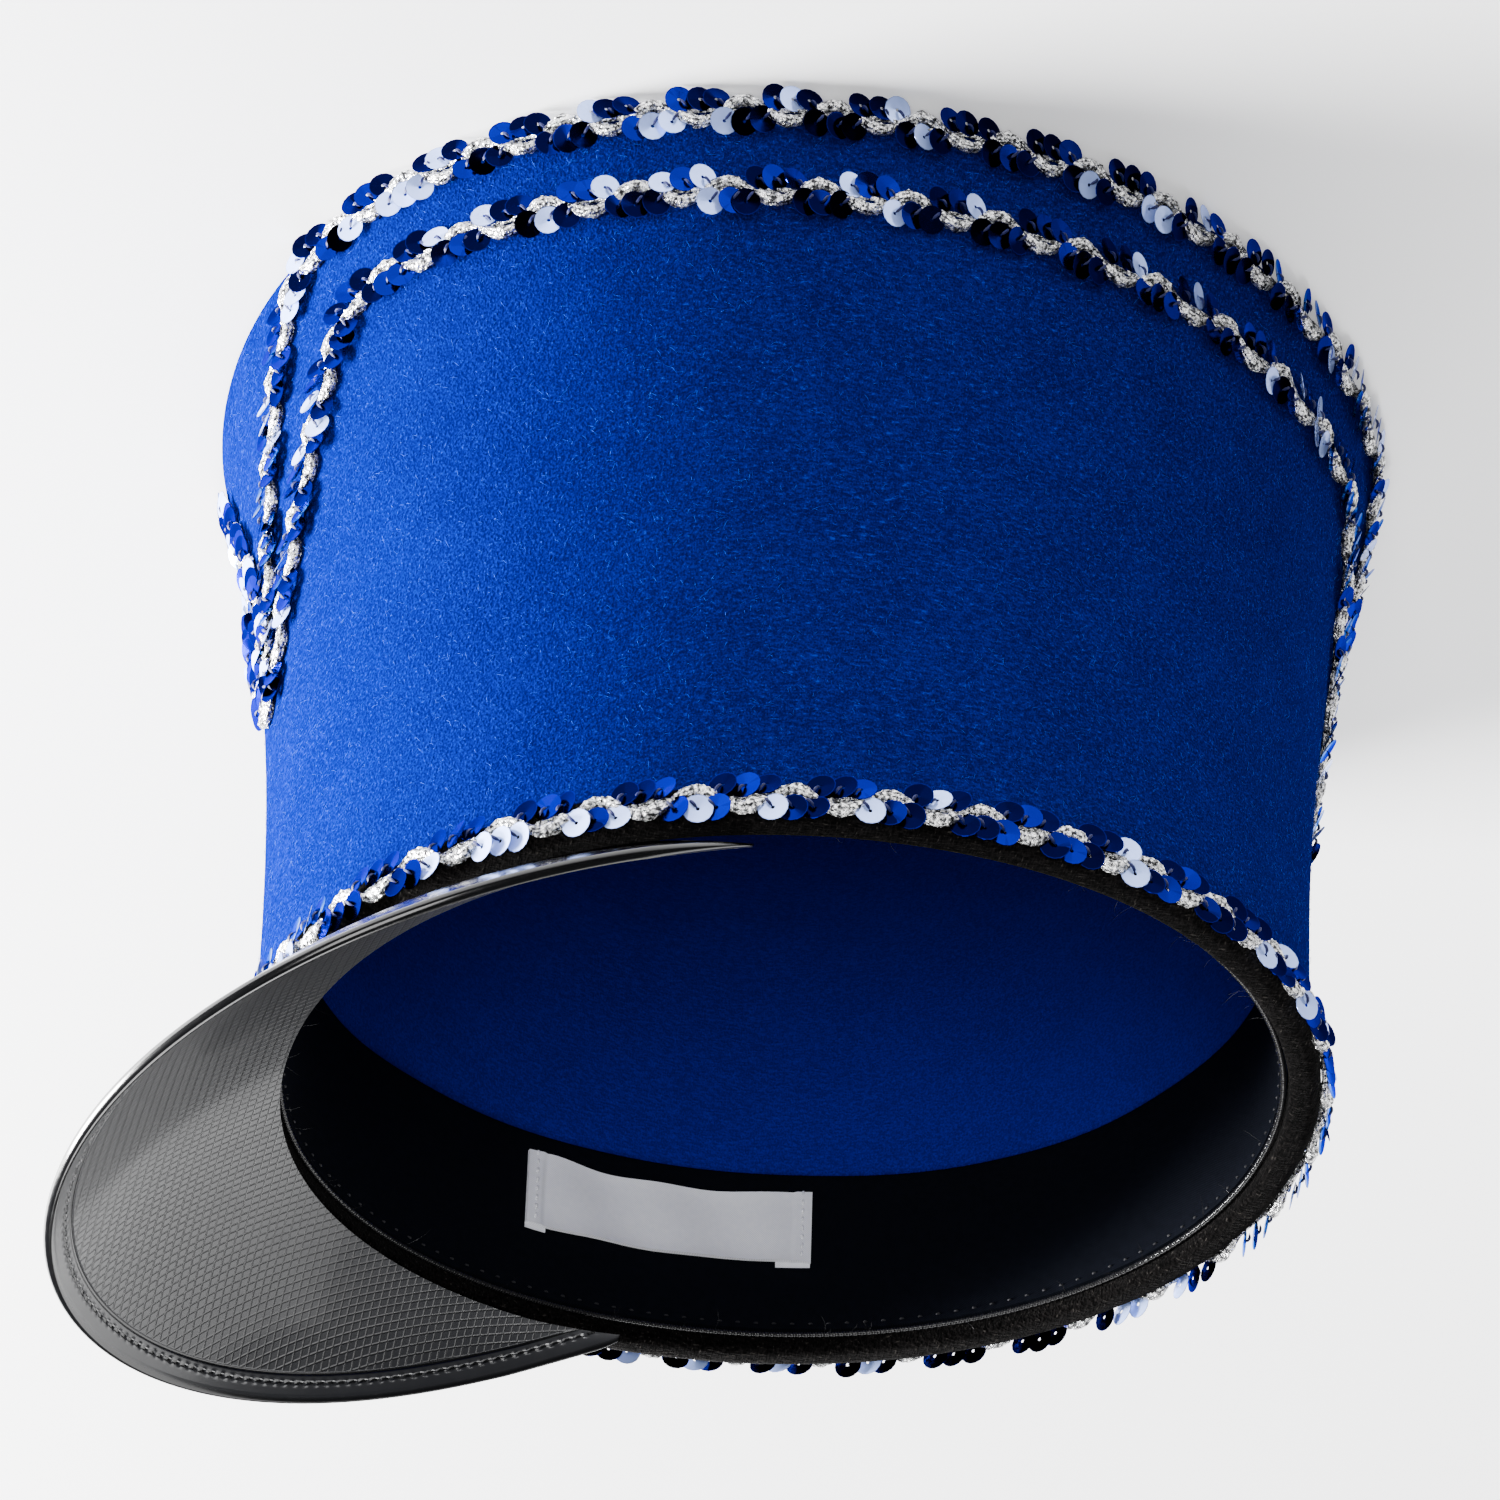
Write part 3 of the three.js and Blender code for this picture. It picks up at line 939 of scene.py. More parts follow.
@dataclass(frozen=True)
class EdgeBand:
    """Black felt folded round the rim, a little wavy, with one end lapped over the other.

    The lap is a low step in the angle that fades out, with a pucker, a bell curve, just before it.
    """

    depth: float = 7.5 * MM
    rounding: float = 3 * MM
    inner_rounding: float = 1.8 * MM
    wave: float = 0.3 * MM
    lap_angle: float = math.radians(-122)
    lap_height: float = 0.7 * MM
    columns: int = 720
    fold_rows: int = 9
    outer_rows: int = 14
    inner_rows: int = 10

    def section(self) -> tuple[Array, Array]:
        """Depths below the rim and offsets round the closed section."""
        outer, inner, small = LAYERS.band_outer, LAYERS.band_inner, self.inner_rounding
        bend = np.linspace(0, math.pi / 2, self.fold_rows)
        leg = np.linspace(self.depth, self.rounding, self.outer_rows)
        fold_depth = self.rounding * (1 - np.sin(bend))
        fold_offset = outer - self.rounding * (1 - np.cos(bend))
        back_depth = small * (1 - np.cos(bend))
        back_offset = inner + small * (1 - np.sin(bend))
        inner_leg = np.linspace(small, self.depth, self.inner_rows)[1:]
        felt_depth = [self.depth, LAYERS.band, LAYERS.band, self.depth]
        felt_offset = [-LAYERS.felt - LAYERS.gap] * 2 + [LAYERS.gap] * 2
        outer_side, inner_side = 0 * leg + outer, 0 * inner_leg + inner
        depths = np.concatenate([leg, fold_depth[1:], back_depth, inner_leg, felt_depth])
        offsets = np.concatenate([outer_side, fold_offset[1:], back_offset, inner_side, felt_offset])
        return depths, offsets

    def build(self, finishes: Finishes) -> None:
        """Sweeps the section: depth and offset sway with the angle, and rise in a low step at the lap."""
        depths, offsets = self.section()
        angle = full_turn(self.columns)[:, None]
        outside = (offsets > 0.5 * LAYERS.band_outer)[None, :]
        wide = ripple(angle, (7, 12, 19, 31), seed=8) * self.wave * 0.6
        sway = wide + ripple(angle, (43, 61, 83), seed=9) * self.wave * 0.3
        turn = np.angle(np.exp(1j * (angle - self.lap_angle)))
        lap = np.clip((turn + 0.01) / 0.012, 0, 1) * np.clip((0.11 - turn) / 0.10, 0, 1)
        pucker = np.exp(-((turn + 0.03) / 0.02) ** 2) * 0.5 * self.lap_height
        grown = offsets + outside * (sway + self.lap_height * lap + pucker)
        at_edge = np.where(depths > 0.9 * self.depth, 1.0, 0.0)
        moved = depths + at_edge * ripple(angle, (9, 15, 22), seed=10) * self.wave
        points = WALL.point(angle, WALL.from_rim(moved), grown)
        maker = MeshMaker("edge_band_felt")
        maker.grid(points, closed_rows=True, closed_columns=True)
        place(maker.build(), [finishes.black_felt], "edge_band", "black_felt")


@dataclass(frozen=True)
class Sweatband:
    """Cloth band inside the wall with a row of small stitches below its reed."""

    start: float = 4.8 * MM
    end: float = 46 * MM
    wave: float = 0.35 * MM
    stitch_pitch: float = 3.9 * MM
    stitch_length: float = 1.1 * MM
    stitch_radius: float = 0.22 * MM
    stitch_depth: float = 6.1 * MM
    columns: int = 420
    rows: int = 28
    edge_rows: int = 7

    def build(self, finishes: Finishes) -> None:
        """Sweeps the band's section, a thin rounded strip that sways more away from the rim, and sews it."""
        angle = full_turn(self.columns)[:, None]
        drop = np.linspace(self.start, self.end, self.rows)
        turn = np.linspace(0, math.pi, self.edge_rows)[1:-1]
        half = LAYERS.sweatband / 2
        face, bend = 0 * drop + half, half * np.cos(turn)
        depths = np.concatenate([drop, self.end + half * np.sin(turn), drop[::-1], self.start - 0 * turn])
        offsets = np.concatenate([-face, -bend, face, bend]) + LAYERS.sweatband_inner + half
        loose = np.clip((depths - self.end * 0.4) / (self.end * 0.6), 0, 1) ** 2
        sway = loose * self.wave * (ripple(angle, (5, 9, 14), seed=21) - 1.0)
        sag = loose * self.wave * 2 * ripple(angle, (4, 7), seed=22)
        points = WALL.point(angle, WALL.from_rim(depths + sag), offsets + sway)
        maker = MeshMaker("sweatband_cloth")
        around = np.cumsum(np.linalg.norm(np.diff(points[:, 0], axis=0, append=points[:1, 0]), axis=-1)) / MM
        uv = np.stack(np.broadcast_arrays(around[:, None], depths[None] / MM), axis=-1)
        maker.grid(points, uv=uv, closed_rows=True, closed_columns=True)
        self.stitches(maker)
        place(maker.build(), [finishes.black_cloth, finishes.stitch], "sweatband", "black_cloth")

    def stitches(self, maker: MeshMaker) -> None:
        """Adds the stitches: short arched tubes at equal steps along the band.

        Args:
            maker: The mesh to add to.
        """
        path = Path.round_hat(self.stitch_depth, LAYERS.sweatband_inner)
        count = round(path.total / self.stitch_pitch)
        point, along, across, normal = path.at(path.total * np.arange(count) / count)
        axes = thread_axes(along * self.stitch_length, across, -normal, self.stitch_radius)
        start = point - along * self.stitch_length / 2
        maker.copies(arched_thread(arch=0.9, sides=6, steps=5), start, axes, np.zeros(count), slot=1)


@dataclass(frozen=True)
class Path:
    """A line on the wall at fine equal steps, with the wall's normal at each point."""

    points: Array
    normals: Array
    lengths: Array
    closed: bool

    @classmethod
    def on_wall(cls, share_at: Callable[[Array], Array], last_angle: float, offset: float,
                closed: bool = False) -> "Path":
        """Makes a path whose height is a function of the angle.

        Args:
            share_at: Function from angles to shares of the height.
            last_angle: Angle where the path ends; it starts at the front.
            offset: Outward offset from the felt.
            closed: Whether the path goes all the way round; an open one has finer steps at its ends.

        Returns:
            The path.
        """
        part = np.linspace(0, 1, PATH_STEPS + 1)
        angle = last_angle * (part if closed else (1 - np.cos(math.pi * part)) / 2)
        share = share_at(angle)
        points = WALL.point(angle, share, offset)
        return cls(points, WALL.normal(angle, share), travelled(points), closed)

    @classmethod
    def round_hat(cls, depth: float, offset: float) -> "Path":
        """Makes a closed path at one depth below the rim."""
        return cls.on_wall(lambda angle: WALL.from_rim(depth) + 0 * angle, FULL_TURN, offset, closed=True)

    @property
    def total(self) -> float:
        """Length of the path."""
        return float(self.lengths[-1])

    def _read(self, table: Array, length: Array) -> Array:
        """Reads a table of vectors at lengths along the path."""
        here = np.mod(length, self.total) if self.closed else np.clip(length, 0, self.total)
        return np.stack([np.interp(here, self.lengths, table[:, axis]) for axis in range(3)], axis=-1)

    def at(self, length: Array) -> tuple[Array, Array, Array, Array]:
        """Places on the path.

        Args:
            length: Distances along the path.

        Returns:
            Points, directions along, directions across and normals of the wall.
        """
        normal = unit(self._read(self.normals, length))
        ahead = self._read(self.points, length + PATH_NUDGE)
        chord = ahead - self._read(self.points, length - PATH_NUDGE)
        across = unit(np.cross(normal, chord))
        return self._read(self.points, length), np.cross(across, normal), across, normal


def tube(maker: MeshMaker, centre: Array, up: Array, radius: Array, closed: bool, slot: int) -> None:
    """Adds a tube round a line: at each point a ring in the plane across the line.

    Args:
        maker: The mesh to add to.
        centre: Array of points by 3.
        up: Directions roughly away from the wall, points by 3.
        radius: Array of points by sides, the tube's radius at each place of its section.
        closed: Whether the last point joins the first.
        slot: Index of the material slot.
    """
    if closed:
        chord = np.roll(centre, -1, axis=0) - np.roll(centre, 1, axis=0)
    else:
        chord = np.gradient(centre, axis=0)
    side = unit(np.cross(up, chord))
    rise = unit(np.cross(chord, side))
    turn = full_turn(radius.shape[1])
    ring = side[:, None] * np.cos(turn)[:, None] + rise[:, None] * np.sin(turn)[:, None]
    points = centre[:, None] + ring * radius[..., None]
    along = np.cumsum(np.linalg.norm(chord, axis=-1)) / MM / 2
    uv = np.stack(np.broadcast_arrays(along[:, None], turn[None] / FULL_TURN), axis=-1)
    maker.grid(points, uv=uv, closed_rows=closed, closed_columns=True, slot=slot)
    if not closed:
        maker.cap(points[0], slot, flip=True)
        maker.cap(points[-1], slot)


@dataclass(frozen=True)
class Gimp:
    """Sequin trim: a waving silver cord of two strands with threes of sequins in its hollows.

    The thick strand runs in sine waves, the thin one nearly straight through them, so that eyes
    stay open between them. The sequins of a three lean on each other like fallen dominoes.
    """

    wave_length: float = 18.7 * MM
    wave_height: float = 2.2 * MM
    thick: float = 1.35 * MM
    pinch: float = 0.4
    thin: float = 0.5 * MM
    thin_share: float = -0.15
    lift: float = 1.0 * MM
    step: float = 0.36 * MM
    thick_sides: int = 12
    thin_sides: int = 6
    sequin_radius: float = 3.0 * MM
    sequin_hole: float = 0.38 * MM
    sequin_thickness: float = 0.11 * MM
    sequin_cup: float = 0.2 * MM
    sequin_pitch: float = 3.8 * MM
    sequin_aside: float = 2.7 * MM
    sequin_lift: float = 1.9 * MM
    sequin_sides: int = 16
    pitch_spread: float = 0.25 * MM
    aside_spread: float = 0.2 * MM
    lean: float = math.radians(20)
    lean_spread: float = 0.12
    splay: float = 0.10
    wobble: float = 0.12
    # Marks of the sequins, painted reflection: how many discs are shown navy, mid blue and pale
    painted_reflection_tones: tuple[float, ...] = (0.0, 0.35, 0.9, 2.0)
    tone_shares: tuple[float, ...] = (0.36, 0.2, 0.2, 0.24)
    thread_radius: float = 0.33 * MM
    thread_reach: float = 1.6 * MM
    floor_gap: float = 0.3 * MM

    def sequin(self) -> Stamp:
        """A thin, slightly cupped disc with a hole."""
        hole, edge = self.sequin_hole, self.sequin_radius
        half = self.sequin_thickness / 2
        profile = np.array([[hole, half - self.sequin_cup], [edge, half], [edge, -half],
                            [hole, -half - self.sequin_cup]])
        return lathe_stamp(profile, self.sequin_sides)

    @staticmethod
    def strand(maker: MeshMaker, path: Path, radius: Array, sway: Array, rise: Array, lengths: Array,
               sides: int, seed: int) -> None:
        """Adds one strand: a tube with the low lobes of its plait, two sines, and uneven thickness.

        Args:
            maker: The mesh to add to.
            path: The line that the trim follows.
            radius: The strand's mean radius at each step.
            sway: Distance across the path at each step.
            rise: Height above the path at each step.
            lengths: Distance along the path at each step.
            sides: Number of sides of its section.
            seed: Seed of the unevenness.
        """
        point, _, across, normal = path.at(lengths)
        centre = point + across * sway[:, None] + normal * rise[:, None]
        turn = full_turn(sides)[None]
        along = FULL_TURN * lengths[:, None] / MM
        lobes = 0.10 * np.sin(3 * turn + along / 4.4) + 0.08 * np.sin(4 * turn - along / 2.1)
        random = np.random.default_rng(seed)
        rough = random.normal(0, 0.05, (len(lengths), sides))
        tube(maker, centre, normal, radius[:, None] * (1 + lobes + rough), path.closed, 0)

    def cord(self, maker: MeshMaker, path: Path, waves: int, seed: int) -> None:
        """Adds both strands along a path with a whole number of waves.

        The thick one sways with the sine of the phase and swells in each bend; the thin one sways
        the other way and less, and passes over and under it.

        Args:
            maker: The mesh to add to.
            path: The line that the trim follows.
            waves: Number of waves.
            seed: Seed of the unevenness.
        """
        count = int(path.total / self.step)
        lengths = path.total * (np.arange(count) / count if path.closed else np.linspace(0, 1, count))
        phase = FULL_TURN * waves * lengths / path.total
        uneven = 1 + self.wobble * ripple(phase / waves, (5, 9, 14, 23), seed)
        sway = self.wave_height * np.sin(phase) * uneven
        swollen = self.thick * (1 - self.pinch + self.pinch * np.abs(np.sin(phase + 0.25)))
        rise = self.lift + 0.15 * self.thick * np.sin(2 * phase)
        self.strand(maker, path, swollen, sway, rise, lengths, self.thick_sides, seed)
        inner = self.thin_share * self.wave_height * np.sin(phase + 0.5)
        weave = self.lift + 0.9 * self.thin * np.cos(phase)
        self.strand(maker, path, self.thin + 0 * lengths, inner, weave, lengths, self.thin_sides, seed + 1)

    def sequins(self, maker: MeshMaker, path: Path, waves: int, order: int, seed: int) -> None:
        """Adds the sequins and their threads.

        A three sits in each half wave, on the side away from the cord's bend. A sequin faces
        outward, tipped along the path by the lean, and keeps clear of the floor.

        Args:
            maker: The mesh to add to.
            path: The line that the trim follows.
            waves: Number of waves.
            order: 1 where each sequin lies on the next one along the path, -1 where on the one before.
            seed: Seed of the unevenness.
        """
        random = np.random.default_rng(seed)
        wave = path.total / waves
        group = np.repeat(np.arange(2 * waves), 3)
        member = np.tile([-1, 0, 1], 2 * waves)
        count = len(group)
        side = np.where(group % 2 == 0, -1.0, 1.0)
        length = (group + 0.5) * wave / 2 + member * self.sequin_pitch
        length = length + random.normal(0, self.pitch_spread, count)
        if not path.closed:
            inside = (length > self.sequin_radius) & (length < path.total - self.sequin_radius)
            side, length = side[inside], length[inside]
            count = len(length)
        point, along, across, normal = path.at(length)
        aside = side * (self.sequin_aside + random.normal(0, self.aside_spread, count))
        lean = order * (self.lean + random.normal(0, self.lean_spread, count))
        outward = side * random.normal(self.splay, self.lean_spread, count)
        facing = unit(normal + along * np.sin(lean)[:, None] + across * outward[:, None])
        ahead = unit(np.cross(across, facing))
        beside = np.cross(facing, ahead)
        middle = point + across * aside[:, None] + normal * self.sequin_lift
        reach = self.sequin_radius * np.sqrt(1 - np.clip(facing[:, 2], -1, 1) ** 2)
        middle[:, 2] += np.maximum(0, self.floor_gap + reach - middle[:, 2])
        # Each sequin's painted reflection, drawn at random
        tone = random.choice(self.painted_reflection_tones, count, p=self.tone_shares)
        turn = random.uniform(0, FULL_TURN, count)[:, None]
        first = ahead * np.cos(turn) + beside * np.sin(turn)
        second = np.cross(facing, first)
        maker.copies(self.sequin(), middle, np.stack([first, second, facing], axis=1), tone, slot=1)
        hole = middle - facing * (self.sequin_cup * 0.6)
        back = point + across * (0.25 * aside)[:, None]
        back = back + along * (order * self.thread_reach) + normal * (self.lift * 2.1)
        pull = back - hole
        flat = unit(np.cross(facing, pull))
        rise = unit(np.cross(pull, flat))
        rise = rise * np.sign(np.einsum("nc,nc->n", rise, facing))[:, None]
        axes = thread_axes(pull, flat, rise, self.thread_radius)
        maker.copies(arched_thread(arch=1.8, sides=5, steps=4), hole, axes, np.zeros(count), slot=2)

    def lay(self, maker: MeshMaker, path: Path, order: int, seed: int) -> None:
        """Lays one run of trim along a path.

        Args:
            maker: The mesh to add to.
            path: The line that the trim follows.
            order: Which way the sequins lean, 1 or -1.
            seed: Seed of the unevenness.
        """
        waves = round(path.total / self.wave_length)
        self.cord(maker, path, waves, seed)
        self.sequins(maker, path, waves, order, seed + 2)

    @staticmethod
    def finish(maker: MeshMaker, finishes: Finishes, node: str) -> None:
        """Dresses the trim in its three finishes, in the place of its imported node."""
        materials = [finishes.silver, finishes.sequin, finishes.thread]
        place(maker.build(FINE_MERGE), materials, node, "sequin_braid")


@dataclass(frozen=True)
class BaseBraid:
    """The trim round the rim, on the edge band.

    On the wearer's right it drifts from the rim, by the square of the sine of the angle.
    """

    depth: float = 3.6 * MM
    drift: float = 1.9 * MM
    gimp: Gimp = field(default_factory=Gimp)

    def share(self, angle: Array) -> Array:
        """Share of the height at which the run lies."""
        return WALL.from_rim(self.depth + self.drift * np.maximum(0, np.sin(angle)) ** 2)

    def build(self, finishes: Finishes) -> None:
        """Lays the closed run."""
        maker = MeshMaker("base_braid_trim")
        path = Path.on_wall(self.share, FULL_TURN, LAYERS.band_outer, closed=True)
        self.gimp.lay(maker, path, order=1, seed=31)
        self.gimp.finish(maker, finishes, "base_braid")


@dataclass(frozen=True)
class UpperRun:
    """One run of an upper braid: its depth at the side, and the width and bend of its V."""

    side_depth: float
    half_width: float
    bend: float


@dataclass(frozen=True)
class UpperBraid:
    """Two runs of trim on one side that meet in a V at the front and at the back.

    Far from the middle a run keeps its side depth below the crown. Towards the middle it follows
    a V: the apex depth times one minus a power of the sideways distance as a share of the width.
    The larger depth of the two counts, softened by a hyperbola, up to the apex depth.
    """

    side: Side
    apex_depth: float = 98.7 * MM
    softness: float = 8 * MM
    runs: tuple[UpperRun, ...] = (UpperRun(4.7 * MM, 30.7 * MM, 1.82), UpperRun(22.6 * MM, 48 * MM, 0.87))
    gimp: Gimp = field(default_factory=Gimp)

    def share(self, run: UpperRun, angle: Array) -> Array:
        """Share of the height of a run at angles from the front."""
        sideways = np.abs(WALL.rim_half_width * np.sin(angle))
        v_depth = self.apex_depth * (1 - (sideways / run.half_width) ** (1 / run.bend))
        v_depth = np.maximum(v_depth, -self.apex_depth)
        apart = run.side_depth - v_depth
        soft = (run.side_depth + v_depth + np.sqrt(apart**2 + self.softness**2)) / 2
        depth = np.minimum(self.apex_depth, soft)
        y = WALL.point(angle, WALL.from_crown(depth), 0.0)[..., 1]
        return depth / (WALL.height + WALL.rim_slope * y)

    def build(self, finishes: Finishes) -> None:
        """Lays both runs."""
        label = self.side.name.lower()
        maker = MeshMaker(f"upper_braid_{label}_trim")
        for number, run in enumerate(self.runs):
            path = Path.on_wall(partial(self.share, run), self.side.value * math.pi, 0.0)
            self.gimp.lay(maker, path, order=-self.side.value, seed=50 + 7 * number + self.side.value)
        self.gimp.finish(maker, finishes, f"upper_braid_{label}")


@dataclass(frozen=True)
class Reed:
    """Thin covered reed along the open edge of the sweatband, ribbed by its winding."""

    depth: float = 3.7 * MM
    rib_pitch: float = 1.5 * MM
    rib_height: float = 0.12
    rib_steps: int = 4
    sides: int = 8
    cover_share: float = 0.72
    strays: int = 110
    stray_length: float = 7.5 * MM
    stray_radius: float = 0.05 * MM
    seed: int = 31

    def build(self, finishes: Finishes) -> None:
        """Winds the tube: its radius swells once in each pitch."""
        path = Path.round_hat(self.depth, LAYERS.reed)
        count = round(path.total / self.rib_pitch) * self.rib_steps
        lengths = path.total * np.arange(count) / count
        point, _, _, normal = path.at(lengths)
        winding = np.cos(FULL_TURN * lengths[:, None] / self.rib_pitch + full_turn(self.sides)[None])
        radius = self.cover_share * LAYERS.reed_radius * (1 + self.rib_height * winding)
        maker = MeshMaker("sweatband_reed_cover")
        tube(maker, point, -normal, radius, closed=True, slot=0)
        self.loose_ends(maker, path)
        place(maker.build(), [finishes.reed], "sweatband_reed", "reed")

    def loose_ends(self, maker: MeshMaker, path: Path) -> None:
        """Adds fine stray threads that stand off from the reed into the hollow.

        Args:
            maker: The mesh to add to.
            path: The reed's line.
        """
        random = np.random.default_rng(self.seed)
        point, along, _, normal = path.at(path.total * random.uniform(0, 1, self.strays))
        length = self.stray_length * random.uniform(0.25, 1, (self.strays, 1)) ** 2
        pull = unit(random.normal(0, 0.45, (self.strays, 3)) - normal) * length
        side = unit(np.cross(pull, along))
        axes = thread_axes(pull, side, unit(np.cross(side, pull)), self.stray_radius)
        maker.copies(arched_thread(arch=14, sides=4, steps=4), point, axes, np.zeros(self.strays))


@dataclass(frozen=True)
class Peak:
    """Moulded peak: an arched sheet that droops from the rim, with a bead, a groove and mock stitches.

    At an angle from the front the reach falls from the middle to the ends with a power of a
    parabola, and closes in a round corner. A place on the sheet is a share of the reach, along the
    droop, raised across it by a low arch, half a sine wave, and by the thickness. The bead is half a
    turn of a small circle, and near both ends the sheet thins and lies down on the rim.
    """

    length: float = 60.9 * MM
    end_length: float = 6.7 * MM
    thickness: float = 1.6 * MM
    left_angle: float = math.radians(-74.5)
    right_angle: float = math.radians(82.5)
    droop_angle: float = math.radians(76)
    taper_angle: float = math.radians(82.4)
    taper_power: float = 1.44
    front_droop: float = math.radians(45.9)
    side_droop: float = math.radians(38.2)
    droop_power: float = 2.7
    corner_power: float = 12
    corner_share: float = 0.995
    arch: float = 3 * MM
    root_fillet: float = 2.4 * MM
    root_share: float = 0.3
    fillet_share: float = 0.3
    bead: float = 2.2 * MM
    bead_relief: float = 0.45 * MM
    stitch_line: float = 5 * MM
    stitch_pitch: float = 2.6 * MM
    stitch_slant: float = 0.7
    stitch_relief: float = 0.3 * MM
    groove_line: float = 7 * MM
    groove_depth: float = 0.35 * MM
    border: float = 8.6 * MM
    tip: float = 0.16
    tip_thinness: float = 0.12
    columns: int = 800
    lattice_rows: int = 14
    border_rows: int = 46
    outside_rows: int = 16
    bead_rows: int = 13

    def reach(self, angle: Array) -> Array:
        """Length of the peak from its root to its edge."""
        taper = np.maximum(0, 1 - (angle / self.taper_angle) ** 2) ** self.taper_power
        full = self.end_length + (self.length - self.end_length) * taper
        end = self.corner_share * angle / np.where(angle < 0, self.left_angle, self.right_angle)
        return full * np.sqrt(1 - end**self.corner_power)

    def moulded(self, inward: Array, passed: Array, reach: Array) -> tuple[Array, Array]:
        """Moulded lines of the underside: a groove, and slanting mock stitches in a channel.

        Each line is a bell with a flat top, by the fourth power of the distance from its middle.

        Args:
            inward: Distance from the edge.
            passed: Distance along the edge.
            reach: Length of the peak there.

        Returns:
            Heights over the sheet, and marks of the finish; these are 0 in the groove and between the
            channel's ribs, painted shade that makes them black and glossy.
        """
        room = np.clip((reach - inward) / (1.5 * MM), 0, 1)
        slant = passed + (inward - self.stitch_line) * self.stitch_slant
        rib = np.clip(np.sin(FULL_TURN * slant / self.stitch_pitch) * 2.5 - 0.6, 0, 1)
        rib = rib * np.exp(-((inward - self.stitch_line) / (0.85 * MM)) ** 4)
        channel = np.exp(-((inward - self.stitch_line) / (0.4 * MM)) ** 4)
        groove = np.exp(-((inward - self.groove_line) / (0.38 * MM)) ** 4)
        height = self.stitch_relief * (rib - 0.7 * channel) - self.groove_depth * groove
        satin = np.where(inward < self.groove_line, 0.5, 1.0) * np.clip(inward / self.bead, 0, 1)
        # Painted shade: the groove and the channel between the ribs get mark 0, black and glossy
        satin = satin * (1 - np.maximum(channel * (1 - rib), groove))
        return room * height, satin

    def build(self, finishes: Finishes) -> None:
        """Makes the closed skin: the side towards the face, the bead, the outer side and the root."""
        angle = np.linspace(self.left_angle, self.right_angle, self.columns + 1)[:, None]
        part = angle / self.droop_angle
        reach = self.reach(angle)
        share_out = np.where(angle < 0, angle / self.left_angle, angle / self.right_angle)
        thin = np.clip((1.02 - share_out) / self.tip, self.tip_thinness, 1) ** 0.7
        droop = self.front_droop + (self.side_droop - self.front_droop) * np.abs(part) ** self.droop_power
        before, root, after = (WALL.point(angle + step, 1.0, LAYERS.opening) for step in (-NUDGE, 0, NUDGE))
        tangent = after - before
        outward = unit(np.stack([tangent[..., 1], -tangent[..., 0], 0 * tangent[..., 0]], axis=-1))
        edge = root + outward * (reach * np.cos(droop))[..., None]
        edge[..., 2] += reach * np.sin(droop)
        bead = self.bead / np.maximum(reach, 2 * self.bead)
        border = np.minimum(self.border, 0.9 * reach)
        inner = reach + (border - reach) * np.linspace(0, 1, self.lattice_rows)
        outer = border + (bead * reach - border) * np.linspace(0, 1, self.border_rows)[1:]
        inward = np.hstack([inner, outer])
        share = 1 - inward / reach
        lines, satin = self.moulded(inward, travelled(edge[:, 0])[:, None], reach)
        fillet = np.minimum(self.root_fillet, self.fillet_share * reach)
        outside = (1 - bead) * np.linspace(1, 0, self.outside_rows)
        sheet = thin * (self.thickness + fillet * np.maximum(0, 1 - outside / self.root_share) ** 2)
        turn = np.linspace(0, math.pi, self.bead_rows)[1:-1]
        radius = self.thickness / 2 + self.bead_relief
        bead_share = 1 - bead / 2 + bead / 2 * np.sin(turn)
        bead_across = thin * (self.thickness / 2 - radius * np.cos(turn))
        shares = np.hstack([share, bead_share, outside])
        across = np.hstack([-lines * thin, bead_across, sheet])
        arch = self.arch * reach / self.length
        across = across + arch * np.sin(math.pi * shares)
        along = reach * shares
        out = LAYERS.gap + along * np.cos(droop) + across * np.sin(droop)
        height = LAYERS.gap + thin * self.thickness + along * np.sin(droop) - across * np.cos(droop)
        points = root + outward * out[..., None]
        points[..., 2] += np.maximum(LAYERS.gap, height)
        lattice = np.hstack([satin, 0 * bead_across, 0 * sheet])
        uv = points[..., :2] / MM
        maker = MeshMaker("peak_moulding")
        maker.grid(points, uv=uv, closed_columns=True, value=lattice)
        maker.cap(points[0])
        maker.cap(points[-1], flip=True)
        place(maker.build(), [finishes.plastic], "peak", "peak_plastic")


